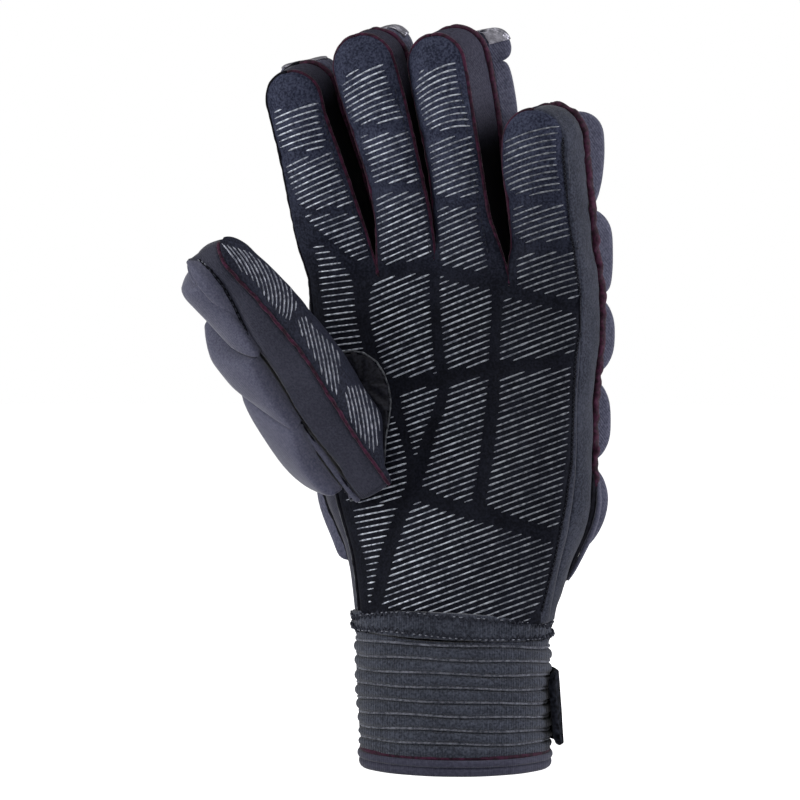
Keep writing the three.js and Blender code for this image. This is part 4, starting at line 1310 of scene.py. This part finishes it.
# Raised grip lines, by pixel of the photograph: for each field how far a line rises per pixel to the right,
# how much it bends, and the field's corners
PALM_FIELDS = {
    "index_tip": (0.33, 0.0028, [
        (275, 119), (274, 112), (319, 98), (319, 117), (327, 145), (316, 151), (281, 151), (277, 133)]),
    "index_middle": (0.44, 0.001, [
        (287, 162), (302, 158), (331, 152), (339, 172), (350, 196), (355, 205), (333, 208), (318, 210),
        (301, 208), (293, 190), (289, 180), (286, 166)]),
    "index_root": (0.38, 0, [
        (303, 215), (357, 213), (365, 240), (370, 259), (366, 263), (353, 259), (339, 248), (322, 234)]),
    "middle_tip": (0.42, 0.0045, [
        (342, 84), (350, 72), (383, 64), (385, 72), (393, 96), (405, 121), (401, 123), (355, 126),
        (346, 110)]),
    "middle_middle": (0.38, 0.0006, [
        (360, 136), (408, 131), (415, 151), (423, 181), (418, 183), (375, 184), (371, 171), (365, 153)]),
    "middle_root": (0.44, 0.0004, [
        (376, 193), (424, 191), (427, 215), (432, 255), (428, 259), (384, 265), (381, 258), (377, 221)]),
    "ring_tip": (0.36, 0.0085, [
        (415, 88), (420, 72), (455, 60), (458, 85), (467, 113), (471, 129), (431, 132), (425, 125),
        (417, 98)]),
    "ring_middle": (0.38, 0.002, [
        (428, 141), (471, 134), (477, 160), (479, 196), (476, 198), (437, 197), (434, 190), (431, 163)]),
    "ring_root": (0.42, 0.001, [
        (437, 206), (477, 207), (477, 221), (483, 244), (489, 270), (486, 273), (442, 266), (440, 258),
        (438, 230)]),
    "little_tip": (0.30, 0.004, [
        (502, 146), (510, 136), (537, 125), (559, 125), (556, 140), (556, 163), (561, 194), (558, 196),
        (517, 196), (509, 190), (504, 179), (500, 156)]),
    "little_middle": (0.34, 0.0015, [
        (514, 206), (563, 205), (568, 225), (570, 238), (566, 241), (522, 243), (514, 234), (512, 221)]),
    "little_root": (0.34, 0.001, [
        (516, 254), (574, 251), (577, 275), (579, 298), (576, 301), (546, 294), (517, 288)]),
    "under_index": (0.13, 0, [
        (313, 246), (320, 242), (339, 260), (352, 277), (355, 303), (358, 328), (365, 354), (384, 390),
        (340, 390), (326, 330), (322, 300), (319, 283), (318, 264)]),
    "thumb_side": (0.30, 0, [
        (384, 390), (399, 431), (407, 460), (407, 484), (399, 503), (345, 503), (360, 440)]),
    "thumb_root": (0.20, 0, [
        (352, 505), (399, 505), (390, 527), (380, 555), (374, 588), (370, 608), (368, 602), (366, 564),
        (358, 537)]),
    "upper_index": (0.42, 0.0004, [
        (372, 286), (385, 277), (430, 272), (430, 300), (432, 330), (434, 358), (437, 373), (398, 379),
        (387, 377), (377, 352), (371, 326), (368, 303)]),
    "upper_middle": (0.40, 0.0003, [
        (440, 273), (448, 280), (492, 290), (492, 310), (490, 336), (489, 364), (448, 371), (444, 355),
        (441, 322), (439, 290)]),
    "upper_ring": (0.38, 0.0002, [
        (503, 296), (520, 300), (545, 306), (575, 314), (577, 330), (574, 352), (540, 358), (500, 362),
        (500, 340), (502, 310)]),
    "wedge": (0.37, 0, [
        (399, 392), (437, 385), (439, 389), (432, 414), (423, 436), (415, 462), (407, 428), (401, 405)]),
    "lower_middle": (0.37, 0, [
        (450, 383), (489, 375), (486, 408), (483, 430), (480, 459), (476, 482), (472, 503), (460, 502),
        (442, 497), (421, 486), (428, 464), (436, 430), (445, 408)]),
    "lower_ring": (0.37, 0, [
        (500, 374), (540, 370), (571, 365), (570, 385), (569, 430), (566, 459), (562, 497), (559, 527),
        (550, 528), (530, 522), (500, 512), (485, 504), (487, 493), (493, 459), (496, 430), (499, 405)]),
    "heel": (0.37, 0, [
        (416, 500), (440, 509), (462, 517), (488, 524), (521, 534), (554, 543), (552, 554), (549, 574),
        (542, 600), (529, 622), (470, 618), (381, 608), (388, 581), (394, 556), (401, 533), (409, 512)]),
}
PALM_PITCH = 6.3
# The arched piping where the thumb joins the palm, and the dark creased cloth inside it
THUMB_ARCH = [
    (342, 353), (353, 351), (364, 353), (377, 362), (384, 373), (389, 388), (391, 403), (389, 421),
    (386, 438), (385, 458), (383, 473), (376, 487), (363, 497), (351, 501),
]
RECESS = [(310, 320), (342, 354), (353, 352), *THUMB_ARCH[2:], (335, 480), (330, 400)]
RECESS_FOCUS = (362, 385)
RECESS_STEP = 2.5  # pixels
WEB_OFF = 0.35
WEB_THICKNESS = 0.8
# The thumb's lines are steep, so here they lean and bend sideways per pixel down
THUMB_FIELDS = {
    "thumb_tip": (0.33, -0.008, [
        (214, 241), (221, 243), (235, 247), (249, 252), (264, 263), (276, 270), (286, 277), (294, 294),
        (297, 306), (291, 321), (286, 319), (279, 314), (269, 303), (258, 286), (247, 275), (240, 271),
        (227, 253)]),
    "thumb_middle": (0.2, -0.001, [
        (297, 320), (304, 315), (315, 328), (331, 343), (341, 355), (340, 366), (339, 384), (336, 397),
        (325, 382), (318, 366), (307, 345), (298, 329)]),
    "thumb_root": (0.16, -0.002, [
        (346, 386), (368, 384), (370, 399), (379, 412), (381, 423), (378, 443), (375, 454), (371, 451),
        (357, 434), (348, 417), (344, 399)]),
}
THUMB_PITCH = 3.9
LINE_HALF_WIDTH = 0.29
LINE_HEIGHT = 0.34
LINE_UNEVEN = 0.55  # how much its size changes along it
LINE_PATCH = 2.5  # over this length
LINE_END = 0.45  # the size of its ends
LINE_SAMPLE = 0.5  # pixels between two looks at whether a line is inside its field
LINE_STEP = 3  # pixels between two points of a line
LINE_LEAST = 3  # pixels
LINE_JUMP = 5  # a line that would cross a gap this wide is left out


def photo_ray(px, py):
    place = np.array([(px - PIXEL_AT_X0) * PIXEL, 0, (PIXEL_AT_Z0 - py) * PIXEL])
    return Vector(unit(place - EYE))


# How much a surface has to face the camera where print is laid on it, and where lines of trim are
FACING = 0.1
GRAZING = 0.02


def cast(tree, px, py, least=FACING):
    """The point and outward direction that a pixel shows on a surface"""
    direction = photo_ray(px, py)
    hit, normal, _, _ = tree.ray_cast(Vector(EYE), direction)
    if hit is None or -normal.dot(direction) < least:
        return None
    return np.array(hit), np.array(normal)


def inside(corners, x, y):
    result = np.zeros(x.shape, bool)
    for (x1, y1), (x2, y2) in zip(corners, corners[1:] + corners[:1]):
        if y1 != y2:
            result ^= ((y1 > y) != (y2 > y)) & (x < x1 + (y - y1) * (x2 - x1) / (y2 - y1))
    return result


def runs(mask):
    """Starts and ends of the stretches where a mask is true"""
    edges = np.flatnonzero(np.diff(np.concatenate([[0], mask.astype(int), [0]])))
    return zip(edges[::2], edges[1::2])


def grip_lines(bundle, tree, fields, pitch, steep=False):
    """Raised lines in the fields, cast from the photograph's eye. Steep lines run downwards."""
    for rise, bend, corners in fields.values():
        xs, ys = [c[0] for c in corners], [c[1] for c in corners]
        low, high = (min(ys), max(ys)) if steep else (min(xs), max(xs))
        middle = (low + high) / 2
        across = xs if steep else ys
        reach = (high - low) * (abs(rise) + 0.3)
        t = np.arange(low - 2, high + 2, LINE_SAMPLE)
        shape = (rise if steep else -rise) * (t - middle) + bend * (t - middle) ** 2
        for level in np.arange(min(across) - reach, max(across) + reach, pitch):
            px, py = (level + shape, t) if steep else (t, level + shape)
            shown = inside(corners, px, py)
            if not steep:
                shown &= ~inside(RECESS, px, py)
            for first, last in runs(shown):
                if (last - first) * LINE_SAMPLE < LINE_LEAST:
                    continue
                count = max(3, int((last - first) * LINE_SAMPLE / LINE_STEP) + 1)
                picks = np.linspace(first, last - 1, count).astype(int)
                found = [cast(tree, px[i], py[i]) for i in picks]
                for a, b in runs(np.array([f is not None for f in found])):
                    if b - a < 3:
                        continue
                    path = np.array([f[0] for f in found[a:b]])
                    ups = np.array([f[1] for f in found[a:b]])
                    if np.linalg.norm(np.diff(path, axis=0), axis=1).max() > LINE_JUMP:
                        continue
                    size = 1 + bumpy(path, LINE_PATCH, LINE_UNEVEN)
                    size[[0, -1]] *= LINE_END
                    bundle.tube(path, ups, LINE_HALF_WIDTH * size, LINE_HEIGHT * size, RIDGE)


def bundle_piece(name, bundle, material):
    obj = new_object(name, np.concatenate(bundle.points), bundle.faces)
    mesh = bmesh.new()
    mesh.from_mesh(obj.data)
    bmesh.ops.recalc_face_normals(mesh, faces=mesh.faces)
    mesh.to_mesh(obj.data)
    mesh.free()
    return finish_piece(obj, material)


lines = Bundle()
grip_lines(lines, palm_tree, PALM_FIELDS, PALM_PITCH)
bundle_piece("palm_grip_lines", lines, PRINT)
lines = Bundle()
grip_lines(lines, thumb_tree, THUMB_FIELDS, THUMB_PITCH, steep=True)
bundle_piece("thumb_grip_lines", lines, THUMB_PRINT)


# Seam tapes, welts and stitches
def resample(path, step, *others):
    """A path, and what goes with its points, at equal steps"""
    lengths = np.concatenate([[0], np.cumsum(np.linalg.norm(np.diff(path, axis=0), axis=1))])
    at = np.linspace(0, lengths[-1], max(2, int(lengths[-1] / step) + 1))
    return [np.stack([np.interp(at, lengths, part[:, k]) for k in range(3)], -1) for part in (path, *others)]


def wavy(count, depth, size, seed):
    return np.array([depth * noise.noise(Vector((i / size, seed, 0))) for i in range(count)])


def seam_tape(bundle, path, at_back, half_width, half_height, seed, wave, off, span=None, crinkle=0.35):
    """A rounded tape along the front or back edge of a side wall, which stands off it and waves by so much.
    crinkle is the share by which its size changes."""
    front, back, out = (part if span is None else part[span] for part in path)
    depth = unit(back - front)
    edge = back - depth * BACK_INSET * 0.45 if at_back else front + depth * FRONT_INSET * 0.5
    edge, out, depth = resample(edge, 0.9, out, depth)
    count = len(edge)
    out, depth = unit(out), unit(depth)
    edge = edge + out * (off + wavy(count, wave, 5, seed))[:, None]
    edge = edge + depth * wavy(count, wave, 4, seed + 9)[:, None]
    width = half_width * (1 + wavy(count, crinkle, 3, seed + 5))
    bundle.tube(edge, out, width, half_height * (1 + wavy(count, crinkle, 3, seed + 7)), circle(10))


THREAD_STEP = 0.25


def stitches(bundle, path, ups, length, gap, radius, shown=1.0):
    """A row of short threads that dip into the cloth at both ends. shown is the share of them that show."""
    path, ups = resample(path, THREAD_STEP, ups)
    step = int(round((length + gap) / THREAD_STEP))
    size = int(round(length / THREAD_STEP))
    for k in range(0, len(path) - size, step):
        if random.random() > shown:
            continue
        picks = np.linspace(k, k + size, 4).astype(int)
        rise = np.array([-0.2, 0.55, 0.55, -0.2]) * radius * 2
        points = path[picks] + unit(ups[picks]) * rise[:, None]
        sizes = radius * np.array([0.7, 1, 1, 0.7])
        bundle.tube(points, ups[picks], sizes, sizes, circle(6))


def photo_path(tree, pixels, step=0.8, off=0.0):
    """A line of pixels laid on a surface"""
    line = np.array([(x, y, 0) for x, y in pixels], float)
    (line,) = resample(line, step / PIXEL)
    found = [f for f in (cast(tree, x, y, GRAZING) for x, y, _ in line) if f is not None]
    if len(found) < 2:
        print("nothing under the line that starts at", pixels[0])
    points, ups = np.array([f[0] for f in found]), np.array([f[1] for f in found])
    return points + ups * off, ups


MAROON_LOWEST = 95  # below this height the back's thick edge takes the seam's place
maroon = Bundle()
span = little_path[1][:, 2] > MAROON_LOWEST
seam_tape(maroon, little_path, True, 1.7, 1.15, seed=1.0, wave=0.8, off=0.4, span=span, crinkle=0.6)
for i, path in enumerate(crotch_paths.values()):
    seam_tape(maroon, path, True, 1.3, 0.8, seed=3.0 + i, wave=0.25, off=0.1)
    seam_tape(maroon, path, False, 0.75, 0.65, seed=13.0 + i, wave=0.12, off=0.15)
seam_tape(maroon, left_side, False, 0.62, 0.6, seed=21.0, wave=0.35, off=0.1)
bundle_piece("maroon_binding", maroon, BINDING)
dark = Bundle()
seam_tape(dark, index_path, True, 1.0, 0.8, seed=31.0, wave=0.2, off=0.1)
seam_tape(dark, index_path, False, 0.8, 0.7, seed=33.0, wave=0.2, off=0.2)
seam_tape(dark, left_side, True, 0.5, 0.5, seed=37.0, wave=0.15, off=-0.5)
bundle_piece("dark_binding", dark, DARK_TAPE)

# The back's thick edge, which shows past the little finger's side below the maroon seam
BACK_EDGE_SPAN = (62, MAROON_LOWEST + 5)
heights = little_path[1][:, 2]
span = (heights > BACK_EDGE_SPAN[0]) & (heights < BACK_EDGE_SPAN[1])
along = (heights[span] - BACK_EDGE_SPAN[0]) / (BACK_EDGE_SPAN[1] - BACK_EDGE_SPAN[0])
ends = np.sin(np.pi * np.clip(along, 0, 1)) ** 0.4  # it thins out at both ends
back_edge, out = little_path[1][span], little_path[2][span]
inward = unit(little_path[0][span] - back_edge)
edge = Bundle()
path = back_edge + out * (2.0 * ends)[:, None] + inward * 0.9
edge.tube(path, out, 0.3 + 0.8 * ends, 0.3 + 0.6 * ends, circle(14))
bundle_piece("back_shell_edge", edge, THUMB_FOAM)
# A dark tube just inside the thick edge: painted shadow along it
shade = Bundle()
shade.tube(back_edge + inward * 2.6 + out * 0.5, out, 0.3 + 1.8 * ends, 0.2 + 0.5 * ends, circle(10))
bundle_piece("back_shell_recess", shade, DARK_TAPE)


def cord_piece(name, path, ups, width, height, material):
    cord = Bundle()
    cord.tube(path, ups, width, height, circle(8))
    bundle_piece(name, cord, material)


thread = Bundle()
grey_thread = Bundle()
path, ups = photo_path(palm_tree, PALM_STITCH_LINE)
uneven = wavy(len(path), 0.25, 1.3, 8.0)
cord_piece("palm_edge_seam", path, ups, 0.42 + uneven, 0.3, DARK_TAPE)
sideways = np.cross(unit(np.gradient(path, axis=0)), ups)
swing = np.resize([-0.35, 0.55], len(path))
thread.tube(path + sideways * swing[:, None] + ups * 0.2, ups, 0.2, 0.2, circle(6))
# Stitches at the right edges of the index, middle and ring fingers' fronts, by pixel
FINGER_EDGE_LINES = [
    [(321, 110), (333, 154), (344, 186), (351, 207), (360, 231), (367, 250)],
    [(395, 90), (404, 124), (413, 161), (421, 199), (426, 225), (430, 255)],
    [(460, 85), (467, 134), (473, 177), (481, 220), (488, 255)],
]
for edge_line in FINGER_EDGE_LINES:
    path, ups = photo_path(palm_tree, edge_line, off=0.02)
    stitches(thread, path, ups, length=1.4, gap=1.0, radius=0.16)
path, ups = photo_path(lifted_tree(*wall_mesh, thumb_wall_lift), THUMB_CHANNEL, off=0.1)
uneven = wavy(len(path), 0.3, 1.5, 3.0)
cord_piece("thumb_channel_thread", path, ups, 0.5 + uneven, 0.3, DARK_TAPE)
pale = int(len(path) * THUMB_CHANNEL_PALE)
above = path + ups * 0.3
stitches(thread, above[pale:], ups[pale:], length=1.2, gap=1.0, radius=0.26)
stitches(grey_thread, above[:pale], ups[:pale], length=0.9, gap=0.8, radius=0.22)
bundle_piece("dark_stitches", thread, DARK_THREAD)

# The wrist seam: two rows of overlock thread round the band
BAND_RADIUS = 29  # about its mean
CAST_FROM = 12.0  # outside the band
LOOP_RADIUS = 0.34
BAND_STEPS = 360


def on_band(angle, level):
    """Points of the band's outside, and the directions out of it"""
    far, near = oval_point(angle, CAST_FROM, level), oval_point(angle, 0.0, level)
    points, ups = [], []
    for start, end in zip(far, near):
        hit, *_ = band_tree.ray_cast(Vector(start), Vector(unit(end - start)))
        points.append(np.array(hit) if hit is not None else end)
        ups.append(unit(start - end))
    return np.array(points), np.array(ups)


def overlock(bundle, height, swing, period, phase, off, top):
    """A zigzag of thread round the band. top is the share of the rise of the band's upper edge that it
    follows."""
    count = int(2 * math.pi * BAND_RADIUS / period) * 4
    angle = np.linspace(0, 2 * np.pi, count, endpoint=False)
    zigzag = np.array([0, 1, 0, -1])[np.arange(count) % 4] * swing
    level = height + band_height(angle) + top * band_top(angle) + zigzag + 0.25 * np.sin(23 * angle + phase)
    path, ups = on_band(angle, level)
    path = path + ups * (off + np.where(np.arange(count) % 4 == 1, 0.2, 0))[:, None]
    bundle.tube(path, ups, LOOP_RADIUS, LOOP_RADIUS, circle(6), closed=True)


# The welts' light colour is a painted highlight along the ribs
bundle_piece("cuff_welts", welts, WELT_PAINTED_HIGHLIGHT)
row_of_loops = Bundle()
overlock(row_of_loops, BAND_TOP - 1.4, swing=0.8, period=2.1, phase=0.0, off=0.1, top=1.0)
overlock(row_of_loops, BAND_BOTTOM + 1.3, swing=0.75, period=2.3, phase=2.0, off=0.2, top=0.0)
bundle_piece("overlock_loops", row_of_loops, DARK_THREAD)
angle = np.linspace(-np.pi, np.pi, BAND_STEPS + 1)
for height, shown, top in ((BAND_TOP - 1.0, 0.5, 1.0), (BAND_BOTTOM + 0.9, 0.8, 0.0)):
    path, ups = on_band(angle, height + band_height(angle) + top * band_top(angle))
    stitches(grey_thread, path + ups * 0.3, ups, length=0.9, gap=1.2, radius=0.17, shown=shown)

# Where the thumb joins the palm: creased dark cloth inside an arched piping
path, ups = photo_path(palm_tree, THUMB_ARCH, off=0.3)
cord_piece("thumb_arch_piping", path, ups, 0.34 + wavy(len(path), 0.12, 2, 5.0), 0.34, PIPING_LOOK)
grid_x, grid_y = np.meshgrid(*(np.arange(min(c), max(c) + 1, RECESS_STEP) for c in zip(*RECESS)))
web_points = np.zeros((*grid_x.shape, 3))
known = inside(RECESS, grid_x, grid_y)
for place in map(tuple, np.argwhere(known)):
    found = cast(palm_tree, grid_x[place], grid_y[place], GRAZING)
    known[place] = found is not None
    if found is not None:
        web_points[place] = found[0] + found[1] * WEB_OFF
web_quads = grid_faces(*grid_x.shape)[:, ::-1]
web_quads = web_quads[known.reshape(-1)[web_quads].all(axis=1)]
used, web_quads = np.unique(web_quads, return_inverse=True)
web_quads = web_quads.reshape(-1, 4)
web_points = web_points.reshape(-1, 3)[used]


def web_lift(points):
    px, py = pixel_of(points)
    turn = np.arctan2(py - RECESS_FOCUS[1], px - RECESS_FOCUS[0])
    return 0.5 * np.sin(9 * turn) + 0.3 * np.sin(17 * turn + 1) + 0.4


web_mesh = thick_sheet(web_points, web_quads, WEB_THICKNESS, web_lift)
finish_piece(new_object("thumb_web_cloth", *web_mesh), WEB)

# Piping at the palm's lower left edge
LEFT_PIPING_TOP = 96
LEFT_PIPING_INSET = 1.5
LEFT_PIPING_RISE = 0.7
heights = index_path[0][:, 2]
span = (heights > CUFF_TOP) & (heights < LEFT_PIPING_TOP)
front, back, out = (part[span] for part in index_path)
path, ups = resample(front + unit(back - front) * LEFT_PIPING_INSET + out * LEFT_PIPING_RISE, 0.8, out)
cord_piece("palm_left_piping", path, unit(ups), 0.3, 0.3, PIPING_LOOK)
bundle_piece("grey_stitches", grey_thread, THREAD)


# Camera, lights and floor. The photograph is 800 pixels wide.
PHOTO_WIDTH = 800
camera_data = bpy.data.cameras.new("camera")
camera = bpy.data.objects.new("camera", camera_data)
bpy.context.scene.collection.objects.link(camera)
bpy.context.scene.camera = camera
camera.location = EYE * MM
target = Vector((PHOTO_WIDTH / 2 - PIXEL_AT_X0, 0, PIXEL_AT_Z0 - PHOTO_WIDTH / 2)) * PIXEL * MM
camera.rotation_mode = "QUATERNION"
camera.rotation_quaternion = (target - camera.location).to_track_quat("-Z", "Y")
camera_data.lens = camera_data.sensor_width * -EYE[1] / (PHOTO_WIDTH * PIXEL)
camera_data.clip_start = 0.05
camera_data.clip_end = 20

# The backdrop and floor are white where the camera sees them, and dim as lights, so that dark cloth keeps its
# contrast
BACKDROP_LIGHT = 0.12
world = bpy.data.worlds.new("studio")
bpy.context.scene.world = world
world.use_nodes = True
backdrop = world.node_tree.nodes["Background"]
backdrop.inputs["Color"].default_value = (1, 1, 1, 1)


def seen_or_dim(tree, socket, seen, dim):
    """Sets a socket to one value for the camera, and to another for the light that it sends"""
    path = tree.nodes.new("ShaderNodeLightPath")
    value = tree.nodes.new("ShaderNodeMapRange")
    value.inputs["To Min"].default_value = dim
    value.inputs["To Max"].default_value = seen
    tree.links.new(path.outputs["Is Camera Ray"], value.inputs["Value"])
    tree.links.new(value.outputs["Result"], socket)


seen_or_dim(world.node_tree, backdrop.inputs["Strength"], 1.0, BACKDROP_LIGHT)


def softbox(name, place, aim, size, power, colour=(1, 1, 1)):
    data = bpy.data.lights.new(name, "AREA")
    data.shape = "RECTANGLE"
    data.size, data.size_y = size
    data.energy = power
    data.color = colour
    light = bpy.data.objects.new(name, data)
    light.location = place
    light.rotation_mode = "QUATERNION"
    light.rotation_quaternion = (Vector(aim) - Vector(place)).to_track_quat("-Z", "Y")
    bpy.context.scene.collection.objects.link(light)


GLOVE_MIDDLE = (0, 0, 0.13)
softbox("left_softbox", (-1.0, -0.35, 0.45), GLOVE_MIDDLE, (0.4, 1.0), 7)
softbox("right_softbox", (1.0, -0.1, 0.4), GLOVE_MIDDLE, (0.4, 1.0), 8, (0.95, 0.95, 1))
softbox("top_softbox", (0.0, -0.3, 1.1), GLOVE_MIDDLE, (0.9, 0.6), 3)
softbox("front_softbox", (-0.35, -1.2, 0.5), GLOVE_MIDDLE, (0.7, 0.7), 2)

FLOOR_HALF = 4
floor_mesh = bpy.data.meshes.new("floor")
floor_corners = [(x * FLOOR_HALF, y * FLOOR_HALF, 0) for x, y in ((-1, -1), (1, -1), (1, 1), (-1, 1))]
floor_mesh.from_pydata(floor_corners, [], [(0, 1, 2, 3)])
floor = bpy.data.objects.new("floor", floor_mesh)
bpy.context.scene.collection.objects.link(floor)
floor_look = bpy.data.materials.new("floor")
floor_look.use_nodes = True
floor_shader = floor_look.node_tree.nodes["Principled BSDF"]
floor_shader.inputs["Base Color"].default_value = (0.9, 0.9, 0.92, 1)
floor_shader.inputs["Roughness"].default_value = 0.9
floor_shader.inputs["Emission Color"].default_value = (1, 1, 1, 1)
seen_or_dim(floor_look.node_tree, floor_shader.inputs["Emission Strength"], 1.0, 0.0)
floor_mesh.materials.append(floor_look)

bpy.context.scene.view_settings.view_transform = "Standard"
